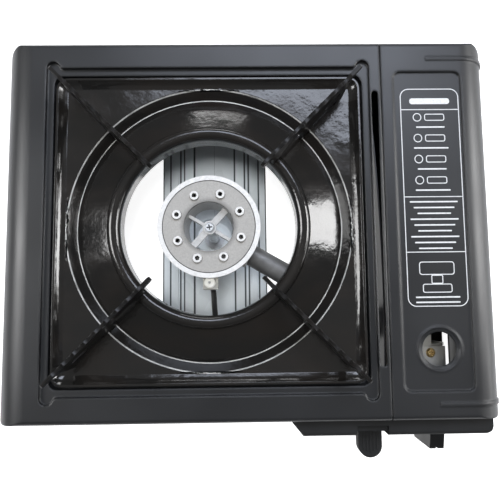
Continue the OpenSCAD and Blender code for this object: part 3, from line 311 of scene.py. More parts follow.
@dataclass(frozen=True)
class Finish:
    """A surface finish, whose material is built once and shared by many pieces.

    The edge is the radius that sharp edges look rounded to. The relief is a bump's weight and
    the depth its height in metres. The spread is how far the roughness goes below and above.
    """

    name: str
    colour: Colour
    roughness: float
    edge: float = 0.0003
    _: KW_ONLY
    specular: float = 0.5
    metallic: float = 0.0
    relief: float = 0.1
    depth: float = 0.0001
    spread: Pair = (0.05, 0.05)

    @cache
    def material(self) -> bpy.types.Material:
        """Builds the finish's material at its first use.

        Returns:
            The material.
        """
        graph = Graph(f"{self.name}_finish")
        graph.set(Base_Color=self.colour, Roughness=self.roughness, Metallic=self.metallic)
        graph.set(Specular_IOR_Level=self.specular)
        self.paint(graph)
        return graph.material

    def paint(self, graph: Graph) -> None:
        """Adds the finish's pattern to the plain shader."""

    def tone(self, share: float) -> Colour:
        """The finish's colour times a share."""
        return tuple(share * part for part in self.colour)

    def dress(self, graph: Graph, colour: Socket, gloss: Socket, relief: Socket) -> None:
        """Sets the colour, an uneven gloss, and a relief over soft edges.

        Args:
            graph: The material's tree.
            colour: The colour socket.
            gloss: Noise that the roughness follows, within the spread.
            relief: Noise that stands out from the surface.
        """
        less, more = self.spread
        rough = graph.ranged(gloss, NOISE, (self.roughness - less, self.roughness + more))
        normal = graph.bump(relief, self.relief, self.depth, graph.soft_edges(self.edge))
        graph.set(Base_Color=colour, Roughness=rough, Normal=normal)


@dataclass(frozen=True, kw_only=True)
class MottledFinish(Finish):
    """A finish of two tones, whose gloss follows them and whose relief is of finer grain."""

    tones: Pair
    mottle: Pattern
    grain: Pattern

    def paint(self, graph: Graph) -> None:
        """Adds the two tones, the uneven gloss and the relief.

        Args:
            graph: The material's tree.
        """
        mottle = graph.noise(self.mottle)
        first, second = (self.tone(share) for share in self.tones)
        colour = graph.blend(graph.ranged(mottle, self.mottle.span), first, second)
        self.dress(graph, colour, gloss=mottle, relief=graph.noise(self.grain))


@dataclass(frozen=True, kw_only=True)
class SatinPaint(MottledFinish):
    """Stoved satin paint on pressed sheet, slightly clouded, with a faint orange peel."""

    relief: float = 0.06
    depth: float = 0.0002
    spread: Pair = (0.04, 0.05)
    tones: Pair = (0.86, 1.12)
    mottle: Pattern = Pattern(14.0, 2.0, MIDDLE)
    grain: Pattern = Pattern(900.0, 2.0)


@dataclass(frozen=True, kw_only=True)
class TurnedMetal(MottledFinish):
    """Turned or plated small metal parts, with tarnish and fine tool marks."""

    metallic: float = 1.0
    spread: Pair = (0.05, 0.12)
    tones: Pair = (1.0, 0.7)
    mottle: Pattern = Pattern(150.0, 3.0, (0.45, 0.7))
    grain: Pattern = Pattern(1200.0, 2.0)


@dataclass(frozen=True, kw_only=True)
class GrainedPlastic(MottledFinish):
    """Moulded plastic with a slight mottle and a spark-eroded grain."""

    relief: float = 0.25
    depth: float = 0.00003
    tones: Pair = (1.0, 1.25)
    mottle: Pattern = Pattern(40.0, 2.0, MIDDLE)
    grain: Pattern = Pattern(1600.0, 2.0)


@dataclass(frozen=True, kw_only=True)
class GlossEnamel(Finish):
    """Thick glossy enamel, which ran a little as it was fired."""

    brown_cast: Colour = (1.3, 1.15, 1.05)
    smears: Pattern = Pattern(26.0, 3.0, (0.4, 0.65), (1.0, 1.8, 1.0), 35.0)
    smear_gloss: Pair = (0.35, 0.75)
    smear_rough: float = 0.14
    waviness: float = 0.5
    waves: Pattern = Pattern(38.0, 2.0)
    wave_depth: float = 0.0008
    lumps: Pattern = Pattern(130.0, 3.0)
    lump_depth: float = 0.0003
    peel: Pattern = Pattern(420.0, 2.0)
    relief: float = 0.35
    depth: float = 0.00016

    def paint(self, graph: Graph) -> None:
        """Adds slow waves, lumps, fine peel, dull patches and a brown cast.

        Args:
            graph: The material's tree.
        """
        smears = graph.noise(self.smears)
        brown = tuple(part * share for part, share in zip(self.colour, self.brown_cast))
        normal = graph.soft_edges(self.edge)
        for pattern, strength, depth in (
            (self.waves, self.waviness, self.wave_depth),
            (self.lumps, self.waviness, self.lump_depth),
            (self.peel, self.relief, self.depth),
        ):
            normal = graph.bump(graph.noise(pattern), strength, depth, normal)
        colour = graph.blend(graph.ranged(smears, self.smears.span), self.colour, brown)
        ends = (self.roughness, self.roughness + self.smear_rough)
        rough = graph.ranged(smears, self.smear_gloss, ends)
        graph.set(Base_Color=colour, Roughness=rough, Normal=normal)


@dataclass(frozen=True, kw_only=True)
class TrayEnamel(GlossEnamel):
    """The tray's enamel, with painted highlight lines along the edges of its round trough."""

    axis: Pair = BURNER_AXIS
    edges: tuple[float, ...]
    pale: Colour = (0.6, 0.6, 0.58)
    half_line: float = 0.0005
    highlight_breaks: Pattern = Pattern(90.0, 3.0, (0.3, 0.55))
    highlight_break_shares: Pair = (0.5, 1.0)

    def paint(self, graph: Graph) -> None:
        """Adds the painted highlight lines, broken up by noise, to the enamel.

        Args:
            graph: The material's tree.
        """
        super().paint(graph)
        # painted highlight: pale lines at the trough's edge radii stand in for the light those
        # edges catch
        lines = graph.lines_at(graph.from_axis(self.axis), self.edges, self.half_line)
        broken_highlight = graph.ranged(graph.noise(self.highlight_breaks), self.highlight_breaks.span, self.highlight_break_shares)
        graph.overlay(graph.calculate("MULTIPLY", lines, broken_highlight), self.pale)


@dataclass(frozen=True, kw_only=True)
class SheetMetal(Finish):
    """Zinc-coated or galvanised sheet, with spangle and drawing marks."""

    metallic: float = 0.8
    relief: float = 0.08
    depth: float = 0.0002
    spread: Pair = (0.06, 0.08)
    dark_share: float = 0.88
    spangle: float = 90.0
    spangle_span: Pair = (0.2, 0.8)
    spangle_shares: Pair = (0.0, 0.6)
    streaks: Pattern = Pattern(160.0, 3.0, stretch=(1.0, 0.06, 1.0))

    def paint(self, graph: Graph) -> None:
        """Adds crystal cells, each of one random grey, drawing marks and uneven gloss.

        Args:
            graph: The material's tree.
        """
        cells = graph.add("TexVoronoi", {"Vector": graph.place, "Scale": self.spangle})
        shares = graph.ranged(cells.outputs["Color"], self.spangle_span, self.spangle_shares)
        streaks = graph.noise(self.streaks)
        colour = graph.blend(shares, self.colour, self.tone(self.dark_share))
        self.dress(graph, colour, gloss=streaks, relief=streaks)


@dataclass(frozen=True, kw_only=True)
class BeadedSheet(SheetMetal):
    """Sheet with long pressed beads, with painted shade along their sides and along a crease in
    the middle.
    """

    middle: float
    offsets: tuple[float, ...]
    bead_shade: Colour = (0.05, 0.06, 0.065)
    half_line: float = 0.0009
    half_crease: float = 0.0001

    def paint(self, graph: Graph) -> None:
        """Adds painted shade: dark lines beside the beads and along the crease in the middle.

        Args:
            graph: The material's tree.
        """
        super().paint(graph)
        across = graph.add("SeparateXYZ", {"Vector": graph.place}).outputs["X"]
        crease = graph.lines_at(across, [self.middle], self.half_crease)
        sides = [self.middle + side * offset for offset in self.offsets for side in (-1, 1)]
        lines = graph.lines_at(across, sides, self.half_line)
        # painted shade: the dark lines stand in for the shade beside the beads and in the crease
        graph.overlay(graph.calculate("MAXIMUM", crease, lines), self.bead_shade)


CAST_GRAIN = Pattern(700.0, 4.0, MIDDLE, grit=0.65)


@dataclass(frozen=True, kw_only=True)
class CastMetal(Finish):
    """Cast or sintered metal with a fine grain."""

    metallic: float = 0.6
    relief: float = 0.3
    depth: float = 0.00006
    spread: Pair = (0.05, 0.1)
    grain: Pattern = CAST_GRAIN
    grain_share: float = 0.8
    stains: Pattern = Pattern(45.0, 3.0, (0.5, 0.75))
    stain_shares: Pair = (0.0, 0.6)
    stain_share: float = 0.86

    def paint(self, graph: Graph) -> None:
        """Adds the grain, as both tone and relief, and stains.

        Args:
            graph: The material's tree.
        """
        grain = graph.noise(self.grain)
        darker = self.tone(self.grain_share)
        speckled = graph.blend(graph.ranged(grain, self.grain.span), darker, self.colour)
        stains = graph.ranged(graph.noise(self.stains), self.stains.span, self.stain_shares)
        colour = graph.blend(stains, speckled, self.tone(self.stain_share))
        self.dress(graph, colour, gloss=grain, relief=grain)


@dataclass(frozen=True, kw_only=True)
class CappedCasting(CastMetal):
    """Casting with a dark seam round its rim, and painted shade in its middle bore fading out
    round the bore's mouth.
    """

    axis: Pair = BURNER_AXIS
    bore: float = 0.0165
    seam: float = 0.0
    half_seam: float = 0.0006
    seam_and_bore_shade: Colour = (0.02, 0.02, 0.02)
    bore_shade_share: float = 0.55
    bore_shade_width: float = 0.0035

    def paint(self, graph: Graph) -> None:
        """Adds the seam and the painted shade of the bore.

        Args:
            graph: The material's tree.
        """
        super().paint(graph)
        reach = graph.from_axis(self.axis)
        seam = graph.lines_at(reach, [self.seam], self.half_seam)
        # painted shade: at its share inside the bore, fading to nothing a few millimetres outside
        # it
        shaded_span = (self.bore, self.bore + self.bore_shade_width)
        rim = graph.ranged(reach, shaded_span, (self.bore_shade_share, 0.0))
        graph.overlay(graph.calculate("MAXIMUM", seam, rim), self.seam_and_bore_shade)


@dataclass(frozen=True, kw_only=True)
class DrawnTube(Finish):
    """Dull drawn steel tube, with marks along its length."""

    metallic: float = 0.4
    relief: float = 0.2
    depth: float = 0.0003
    spread: Pair = (0.08, 0.1)
    dull_share: float = 0.55
    marks: Pattern = Pattern(420.0, 4.0, stretch=(0.12, 1.0, 1.0), turn=30.5)
    scale: Pattern = Pattern(60.0, 4.0, (0.4, 0.65))

    def paint(self, graph: Graph) -> None:
        """Adds long marks that follow the tube and uneven scale.

        Args:
            graph: The material's tree.
        """
        marks = graph.noise(self.marks)
        scale = graph.ranged(graph.noise(self.scale), self.scale.span)
        colour = graph.blend(scale, self.colour, self.tone(self.dull_share))
        self.dress(graph, colour, gloss=marks, relief=marks)


@dataclass(frozen=True, kw_only=True)
class PrintInk(Finish):
    """Screen-printed ink, a little uneven."""

    thin_share: float = 0.8
    spots: Pattern = Pattern(800.0, 3.0, (0.5, 0.75))

    def paint(self, graph: Graph) -> None:
        """Adds thin spots in the ink."""
        spots = graph.ranged(graph.noise(self.spots), self.spots.span)
        graph.set(Base_Color=graph.blend(spots, self.colour, self.tone(self.thin_share)))


BODY_PAINT = SatinPaint("body_paint", (0.0130, 0.0138, 0.0153), 0.38, 0.002)
COVER_PAINT = SatinPaint("cover_paint", (0.0140, 0.0148, 0.0164), 0.4, 0.0024)
INNER_PAINT = SatinPaint("inner_paint", (0.012, 0.012, 0.013), 0.4, 0.0004)
# The tray's edges are the radii of its painted highlight lines.
TRAY_ENAMEL = TrayEnamel("tray_enamel", (0.0108, 0.0103, 0.0097), 0.095, edges=(0.0976, 0.0916))
SUPPORT_ENAMEL = GlossEnamel(
    "support_enamel", (0.0060, 0.0056, 0.0053), 0.3, 0.0006, waviness=1.0, specular=0.25
)
# The offsets place the painted shade lines beside the plate's beads.
GALVANISED = BeadedSheet(
    "galvanised",
    (0.88, 0.94, 0.97),
    0.45,
    0.0006,
    metallic=0.05,
    middle=BURNER_AXIS[0],
    offsets=(0.0165, 0.0247, 0.0279, 0.0361, 0.042),
)
ZINC_SHEET = SheetMetal("zinc_sheet", (0.62, 0.61, 0.57), 0.38, spangle=200.0)
BURNER_CASTING = CappedCasting(
    "burner_casting",
    (0.86, 0.86, 0.85),
    0.5,
    0.0005,
    metallic=0.05,
    grain=replace(CAST_GRAIN, cells=500.0),
    relief=0.15,
    bore_shade_share=0.35,
)
BURNER_PLATE = CappedCasting(
    "burner_plate",
    (0.46, 0.45, 0.43),
    0.6,
    0.0004,
    metallic=0.1,
    grain=replace(CAST_GRAIN, cells=900.0),
    relief=0.35,
    seam=0.0312,
)
REGULATOR_CASTING = CastMetal("regulator_casting", (0.62, 0.58, 0.5), 0.4, 0.0008)
ZINC_SCREW = TurnedMetal("zinc_screw", (0.9, 0.92, 0.94), 0.4, 0.0002)
# painted shade: a dark finish for the film that stands in for the screw's shaded cross recess
RECESS_SHADE = CastMetal("recess_grey", (0.06, 0.066, 0.072), 0.6, 0.0001)
BRASS = TurnedMetal("brass", (0.78, 0.56, 0.25), 0.25, 0.0002)
STEEL_ROD = TurnedMetal("steel_rod", (0.55, 0.55, 0.54), 0.3, 0.0002)
TUBE_STEEL = DrawnTube("tube_steel", (0.22, 0.22, 0.217), 0.5)
WHITE_CERAMIC = GrainedPlastic("white_ceramic", (0.78, 0.77, 0.72), 0.2, relief=0.05)
NYLON = GrainedPlastic("nylon", (0.7, 0.68, 0.62), 0.4)
PANEL_PLASTIC = GrainedPlastic(
    "panel_plastic", (0.0195, 0.0198, 0.0202), 0.62, 0.0007, specular=0.12
)
KNOB_PLASTIC = GrainedPlastic(
    "knob_plastic", (0.010, 0.0102, 0.011), 0.45, 0.0006, specular=0.25
)
BLACK_PLASTIC = GrainedPlastic("black_plastic", (0.012, 0.012, 0.013), 0.4, 0.0004)
RUBBER = GrainedPlastic("rubber", (0.014, 0.014, 0.014), 0.7, 0.0004)
SLEEVE = GrainedPlastic("lead_sleeve", (0.010, 0.010, 0.010), 0.5, 0.0002)
WHITE_INK = PrintInk("white_ink", (0.82, 0.83, 0.84), 0.5)


# ---------- meshes ----------


def new_object(name: str, mesh: Mesh, material: bpy.types.Material) -> bpy.types.Object:
    """Makes an object of a finished bmesh.

    Args:
        name: The object's name.
        mesh: The bmesh, in metres, which is freed.
        material: The object's material.

    Returns:
        The object, at the origin.
    """
    data = bpy.data.meshes.new(name)
    mesh.to_mesh(data)
    mesh.free()
    data.materials.append(material)
    made = bpy.data.objects.new(name, data)
    bpy.context.scene.collection.objects.link(made)
    return made


def join_meshes(parts: Iterable[Mesh]) -> Mesh:
    """Puts several bmeshes into one and frees them.

    Args:
        parts: The bmeshes.

    Returns:
        The joined bmesh.
    """
    whole = bmesh.new()
    for part in parts:
        scratch = bpy.data.meshes.new("scratch")
        part.to_mesh(scratch)
        part.free()
        whole.from_mesh(scratch)
        bpy.data.meshes.remove(scratch)
    return whole


def rounded_film(
    width: float, depth: float, radius: float, film: float, line: float = 0.0
) -> Mesh:
    """A thin flat plate or outline with round corners, centred on the origin, its top at film.

    Args:
        width: Size along X.
        depth: Size along Y.
        radius: Radius of the corners, which stop just short of each other.
        film: Thickness.
        line: Width of the outline's line; a plate has none.

    Returns:
        The bmesh.
    """
    mesh = bmesh.new()
    bmesh.ops.create_grid(mesh, x_segments=1, y_segments=1, size=0.5)
    bmesh.ops.scale(mesh, vec=(width, depth, 1.0), verts=mesh.verts)
    bmesh.ops.bevel(
        mesh,
        geom=mesh.verts[:],
        offset=min(radius, CORNER_LIMIT * min(width, depth)),
        segments=RING_CORNER if line else PLATE_CORNER,
        profile=0.5,
        affect="VERTICES",
        material=-1,
    )
    if line:
        middle = mesh.faces[:]
        bmesh.ops.inset_region(
            mesh, faces=middle, thickness=line, use_even_offset=True, use_boundary=True
        )
        bmesh.ops.delete(mesh, geom=middle, context="FACES")
    thicken(mesh, film)
    return mesh


def thicken(mesh: Mesh, film: float) -> None:
    """Extrudes a flat mesh upwards into a closed film.

    Args:
        mesh: The bmesh.
        film: Thickness.
    """
    made = bmesh.ops.extrude_face_region(mesh, geom=mesh.faces[:], use_keep_orig=True)
    raised = [part for part in made["geom"] if isinstance(part, bmesh.types.BMVert)]
    bmesh.ops.translate(mesh, vec=(0.0, 0.0, film), verts=raised)
    bmesh.ops.recalc_face_normals(mesh, faces=mesh.faces[:])


def moved(mesh: Mesh, place: Matrix) -> Mesh:
    """Moves a whole bmesh by a matrix and returns it."""
    bmesh.ops.transform(mesh, matrix=place, verts=mesh.verts)
    return mesh


def turned(profile: Iterable[Pair], steps: int) -> Mesh:
    """Spins a closed profile about the Z axis.

    Args:
        profile: Radius and height of each point.
        steps: Number of steps in the full turn.

    Returns:
        The bmesh.
    """
    mesh = bmesh.new()
    verts = [mesh.verts.new((radius, 0.0, height)) for radius, height in profile]
    edges = [mesh.edges.new((verts[i - 1], verts[i])) for i in range(len(verts))]
    bmesh.ops.spin(
        mesh,
        geom=verts + edges,
        cent=(0.0, 0.0, 0.0),
        axis=(0.0, 0.0, 1.0),
        angle=math.tau,
        steps=steps,
        use_merge=True,
    )
    bmesh.ops.recalc_face_normals(mesh, faces=mesh.faces[:])
    return mesh


@dataclass(frozen=True)
class Section:
    """One closed line round a dish: a rounded square, or a circle where half equals corner."""

    half: float
    corner: float
    height: float

    def reach(self, angle: float) -> float:
        """Distance of the line from the axis in a direction.

        Args:
            angle: The direction, in radians.

        Returns:
            The distance in metres.
        """
        along, across = sorted((abs(math.cos(angle)), abs(math.sin(angle))), reverse=True)
        run = self.half - self.corner
        if across * self.half <= run * along:
            return self.half / along
        middle = run * (along + across)
        return middle + math.sqrt(max(middle**2 - 2 * run**2 + self.corner**2, 0.0))


def dished(sections: Iterable[Section], centre: Vector, steps: int) -> Mesh:
    """A sheet drawn through sections from the outside inwards, its upper face upwards.

    Args:
        sections: The lines that the sheet runs through.
        centre: The axis, at height 0.
        steps: Number of points in each line.

    Returns:
        The open sheet.
    """
    mesh = bmesh.new()
    made = bmesh.ops.create_circle(mesh, cap_ends=False, segments=steps, radius=1.0)
    verts, edges = made["verts"], mesh.edges[:]
    for index, section in enumerate(sections):
        if index:
            made = bmesh.ops.extrude_edge_only(mesh, edges=edges)
            verts = [part for part in made["geom"] if isinstance(part, bmesh.types.BMVert)]
            fresh = set(verts)
            edges = [
                part
                for part in made["geom"]
                if isinstance(part, bmesh.types.BMEdge) and fresh.issuperset(part.verts)
            ]
        for vert in verts:
            angle = math.atan2(vert.co.y, vert.co.x)
            reach = section.reach(angle)
            vert.co = (reach * math.cos(angle), reach * math.sin(angle), section.height)
    bmesh.ops.translate(mesh, vec=centre, verts=mesh.verts)
    bmesh.ops.recalc_face_normals(mesh, faces=mesh.faces[:])
    if sum(face.normal.z * face.calc_area() for face in mesh.faces) < 0:
        bmesh.ops.reverse_faces(mesh, faces=mesh.faces[:])
    for face in mesh.faces:
        face.smooth = True
    return mesh


def rounded_line(points: Sequence[Pair], radii: Sequence[float], steps: int = 6) -> list[Pair]:
    """Rounds the corners of an open line, apart from those that are nearly straight.

    Args:
        points: The line's points.
        radii: Radius at each point between the first and the last.
        steps: Number of pieces in each round corner.

    Returns:
        The points of the rounded line, with one on each side of a round corner.
    """
    line = [points[0]]
    for before, corner, after, radius in zip(points, points[1:], points[2:], radii):
        spot = Vector(corner)
        back, on = (Vector(before) - spot).normalized(), (Vector(after) - spot).normalized()
        half = back.angle(on) / 2
        if half > NEARLY_STRAIGHT:
            line.append(corner)
            continue
        tangent = radius / math.tan(half)
        middle = spot + (back + on).normalized() * (radius / math.sin(half))
        start, end = spot + back * tangent - middle, spot + on * tangent - middle
        line.append(tuple(spot + back * EASE * tangent))
        for step in range(steps + 1):
            spoke = start.lerp(end, step / steps).normalized() * radius
            line.append(tuple(middle + spoke))
        line.append(tuple(spot + on * EASE * tangent))
    line.append(points[-1])
    return line


# ---------- sub-assemblies ----------


@dataclass
class Assembly:
    """A sub-assembly: CAD nodes with their finishes, and the pieces added to them."""

    body: Body = Body.STOVE
    finishes: ClassVar[dict[str, Finish]] = {}

    def pieces(self) -> None:
        """Builds the pieces that the assembly adds."""

    def build(self) -> None:
        """Dresses the CAD nodes and builds the added pieces."""
        for node, finish in self.finishes.items():
            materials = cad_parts[node].data.materials
            materials.clear()
            materials.append(finish.material())
            LOG.info("%s wears %s", node, finish.name)
        self.pieces()

    def add(self, name: str, mesh: Mesh, finish: Finish, slot: Slot) -> bpy.types.Object:
        """Makes a piece that rides on the assembly's body.

        Args:
            name: The piece's name.
            mesh: The bmesh, in metres, which is freed.
            finish: The piece's finish.
            slot: The record's slot that it belongs to; not used.

        Returns:
            The piece.
        """
        piece = new_object(name, mesh, finish.material())
        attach(piece, self.body.value)
        LOG.info("%s rides on %s", piece.name, self.body.value)
        return piece


def at_corners(word: str, finish: Finish) -> dict[str, Finish]:
    """The same finish for the four nodes of one kind that stand at the corners."""
    names = (f"{word}_{row}_{side}" for row in ("front", "back") for side in ("left", "right"))
    return dict.fromkeys(names, finish)


@dataclass
class Casing(Assembly):
    """Painted body shell, inner sheets, floor of the bay, base plate and feet."""

    finishes: ClassVar[dict[str, Finish]] = {
        "body_shell": BODY_PAINT,
        "partition": INNER_PAINT,
        "bay_floor": INNER_PAINT,
        "base_plate": GALVANISED,
        "base_screws": ZINC_SCREW,
        **at_corners("foot", RUBBER),
    }


@dataclass
class Burner(Assembly):
    """Burner casting with its cap, ports, screw, post and mixing tube."""

    port_count: int = 8
    port_ring: float = 22.8 * MM
    port_angle: float = 25.2
    rim_outer: float = 3.05 * MM
    rim_inner: float = 1.5 * MM
    rim_height: float = 0.35 * MM
    rim_bevel: float = 0.2 * MM
    rim_wall: float = 0.6
    rim_steps: int = 24
    cross_reach: float = 1.9 * MM
    cross_half: float = 0.42 * MM
    cross_sink: float = 0.3 * MM
    cross_proud: float = 0.05 * MM
    cross_angle: float = 12.0

    finishes: ClassVar[dict[str, Finish]] = {
        "burner_post": ZINC_SCREW,
        "burner_body": BURNER_CASTING,
        "burner_cap": BURNER_PLATE,
        "burner_screw": ZINC_SCREW,
        "post_screw": ZINC_SCREW,
        "mixing_tube": TUBE_STEEL,
    }

    def pieces(self) -> None:
        """Builds the machined rims of the flame ports, and a dark cross film in the burner screw
        that is painted shade of its cross recess.
        """
        self.add("port_rims", self.rims(), BURNER_CASTING, Slot.CASTING)
        self.add("burner_screw_cross", self.cross(), RECESS_SHADE, Slot.ZINC)

    def rims(self) -> Mesh:
        """Turns the rims of the flame ports.

        Returns:
            The bmesh, in place on top of the cap.
        """
        low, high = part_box("burner_cap")
        centre = (low + high) / 2
        rise, bevel = self.rim_height, self.rim_bevel
        profile = (
            (self.rim_inner, -bevel),
            (self.rim_inner, self.rim_wall * rise),
            (self.rim_inner + bevel, rise),
            (self.rim_outer - bevel, rise),
            (self.rim_outer, self.rim_wall * rise),
            (self.rim_outer, -bevel),
        )
        rims = []
        for port in range(self.port_count):
            angle = math.radians(self.port_angle + port * 360 / self.port_count)
            offset = Vector((math.cos(angle), math.sin(angle), 0.0)) * self.port_ring
            spot = Vector((centre.x, centre.y, high.z)) + offset
            rims.append(moved(turned(profile, self.rim_steps), Matrix.Translation(spot)))
        return join_meshes(rims)

    def cross(self) -> Mesh:
        """Makes a dark cross film that stands for the burner screw's cross recess as painted
        shade.

        Returns:
            The bmesh, in place in the screw's head.
        """
        mesh = bmesh.new()
        half, reach = self.cross_half, self.cross_reach
        corners = []
        for quarter in range(4):
            turn = Matrix.Rotation(quarter * math.pi / 2, 3, "Z")
            for x, y in ((half, half), (half, reach), (-half, reach)):
                corners.append(mesh.verts.new(turn @ Vector((x, y, 0.0))))
        mesh.faces.new(corners)
        thicken(mesh, self.cross_sink + self.cross_proud)
        low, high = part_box("burner_screw")
        top = Vector(((low.x + high.x) / 2, (low.y + high.y) / 2, high.z - self.cross_sink))
        turn = Matrix.Rotation(math.radians(self.cross_angle), 4, "Z")
        return moved(mesh, Matrix.Translation(top) @ turn)


@dataclass
class PanCarrier(Assembly):
    """Drip tray with its four pan supports."""

    body: Body = Body.TRAY
    steps: int = 480
    sheet: float = 1.0 * MM
    skirt: float = 8.4 * MM
    corner: float = 8.0 * MM
    lip: float = 0.8 * MM
    fall_run: float = 2.2 * MM
    fall_share: float = 0.6
    sink: float = 4.0 * MM
    border: float = 7.0 * MM
    border_run: float = 1.5 * MM
    border_radii: tuple[float, ...] = (0.36 * MM, 0.48 * MM, 9.0 * MM, 2.0 * MM)
    trough_edge: float = 98.0 * MM
    trough_run: float = 0.9 * MM
    trough_low: float = 92.0 * MM
    trough_drop: float = 6.0 * MM
    trough_radii: tuple[float, ...] = (0.9 * MM, 0.8 * MM, 60.0 * MM, 0.25 * MM)
    floor_run: float = 10.0 * MM
    floor_drop: float = 4.9 * MM
    roll_rise: float = 6.5 * MM
    roll_foot: float = 0.3 * MM
    roll_outer: float = 68.4 * MM
    roll_inner: float = 59.4 * MM
    roll_steps: int = 18
    roll_first: int = 2

    finishes: ClassVar[dict[str, Finish]] = at_corners("support", SUPPORT_ENAMEL)

    def pieces(self) -> None:
        """Builds the drip tray as one smooth sheet, with every edge of the pressing round."""
        low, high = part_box("drip_tray")
        centre = (low + high) / 2
        sections = self.sections((high.x - low.x) / 2, low.z, high.z)
        mesh = dished(sections, Vector((centre.x, centre.y, 0.0)), self.steps)
        tray = self.add("drip_tray_sheet", mesh, TRAY_ENAMEL, Slot.ENAMEL)
        wall = tray.modifiers.new("wall", "SOLIDIFY")
        wall.thickness = self.sheet
        wall.offset = -1.0
        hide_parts("drip_tray")

    def sections(self, half: float, foot: float, crown: float) -> list[Section]:
        """The lines that the tray's sheet runs through.

        Args:
            half: Half the side of the tray.
            foot: Height of the collar's lower edge.
            crown: Height of the rolled rim's top.

        Returns:
            The sections, from the outer edge inwards.
        """
        brow = crown - self.roll_rise
        flat = brow - self.sink
        fall = half - 2 * self.lip
        border = half - self.border
        square = rounded_line(
            [
                (half, brow - self.skirt),
                (half, brow),
                (fall, brow),
                (fall - self.fall_run, brow - self.fall_share * self.sink),
                (border, flat),
                (border - self.border_run, flat),
            ],
            self.border_radii,
        )
        roll = (self.roll_outer - self.roll_inner) / 2
        shelf = crown - roll
        dish = rounded_line(
            [
                (self.trough_edge + self.trough_run, flat),
                (self.trough_edge, flat),
                (self.trough_low, flat - self.trough_drop),
                (self.roll_outer + self.floor_run, shelf - self.floor_drop),
                (self.roll_outer, shelf),
                (self.roll_outer, shelf + self.roll_foot),
            ],
            self.trough_radii,
        )
        middle = self.roll_outer - roll
        steps = range(self.roll_first, self.roll_steps)
        turns = [math.pi * step / self.roll_steps for step in steps]
        rim = [(middle + roll * math.cos(a), shelf + roll * math.sin(a)) for a in turns]
        collar = [(self.roll_inner, shelf), (self.roll_inner, foot)]
        made = [Section(reach, self.corner - (half - reach), height) for reach, height in square]
        return made + [Section(reach, reach, height) for reach, height in [*dish, *rim, *collar]]


@dataclass
class Igniter(Assembly):
    """Electrode, its bracket and lead, and the igniter unit."""

    finishes: ClassVar[dict[str, Finish]] = {
        "electrode_bracket": ZINC_SHEET,
        "bracket_screw": ZINC_SCREW,
        "electrode_ceramic": WHITE_CERAMIC,
        "electrode_pin": STEEL_ROD,
        "igniter_lead": SLEEVE,
        "lead_clips": ZINC_SHEET,
        "igniter_unit": BLACK_PLASTIC,
        "igniter_plunger": BRASS,
    }


@dataclass
class GasInlet(Assembly):
    """Regulator with its bracket, jet, seat and the plate that places the cartridge."""

    finishes: ClassVar[dict[str, Finish]] = {
        "regulator_body": REGULATOR_CASTING,
        "regulator_cap": ZINC_SHEET,
        "regulator_bracket": ZINC_SHEET,
        "regulator_screws": BRASS,
        "gas_jet": BRASS,
        "inlet_seat": BRASS,
        "nozzle_seal": RUBBER,
        "locating_plate": ZINC_SHEET,
    }


@dataclass
class Controls(Assembly):
    """Control panel with the knob, the lock lever, the clamp and their carriers."""

    scale_radius: float = 23.4 * MM
    scale_from: float = 0.0
    scale_to: float = 115.0
    scale_steps: int = 9
    tick_least: float = 1.2 * MM
    tick_growth: float = 2.2 * MM
    tick_width: float = 0.9 * MM
    tick_corner: float = 0.4 * MM
    film: float = 0.06 * MM

    finishes: ClassVar[dict[str, Finish]] = {
        "control_panel": PANEL_PLASTIC,
        "panel_screws": ZINC_SCREW,
        "knob": KNOB_PLASTIC,
        "valve_spindle": STEEL_ROD,
        "spindle_cam": NYLON,
        "lever_tab": PANEL_PLASTIC,
        "lever_arm": ZINC_SHEET,
        "lever_shaft": STEEL_ROD,
        "lever_bracket": ZINC_SHEET,
        "shaft_bearing": ZINC_SHEET,
        "cartridge_clamp": ZINC_SHEET,
        "clamp_pins": STEEL_ROD,
    }

    def pieces(self) -> None:
        """Builds the scale of growing bars round the knob."""
        low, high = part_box("knob")
        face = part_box("control_panel")[0].y
        centre = Matrix.Translation(((low.x + high.x) / 2, face, (low.z + high.z) / 2))
        upright = Matrix.Rotation(math.radians(90), 4, "X")
        bars = []
        for step in range(self.scale_steps):
            share = step / (self.scale_steps - 1)
            angle = 90 + self.scale_from + share * (self.scale_to - self.scale_from)
            turn = Matrix.Rotation(math.radians(angle), 4, "Z")
            length = self.tick_least + self.tick_growth * share
            out = Matrix.Translation((self.scale_radius + length / 2, 0.0, 0.0))
            bar = rounded_film(length, self.tick_width, self.tick_corner, self.film)
            bars.append(moved(bar, centre @ upright @ turn @ out))
        self.add("knob_scale", join_meshes(bars), WHITE_INK, Slot.PANEL)


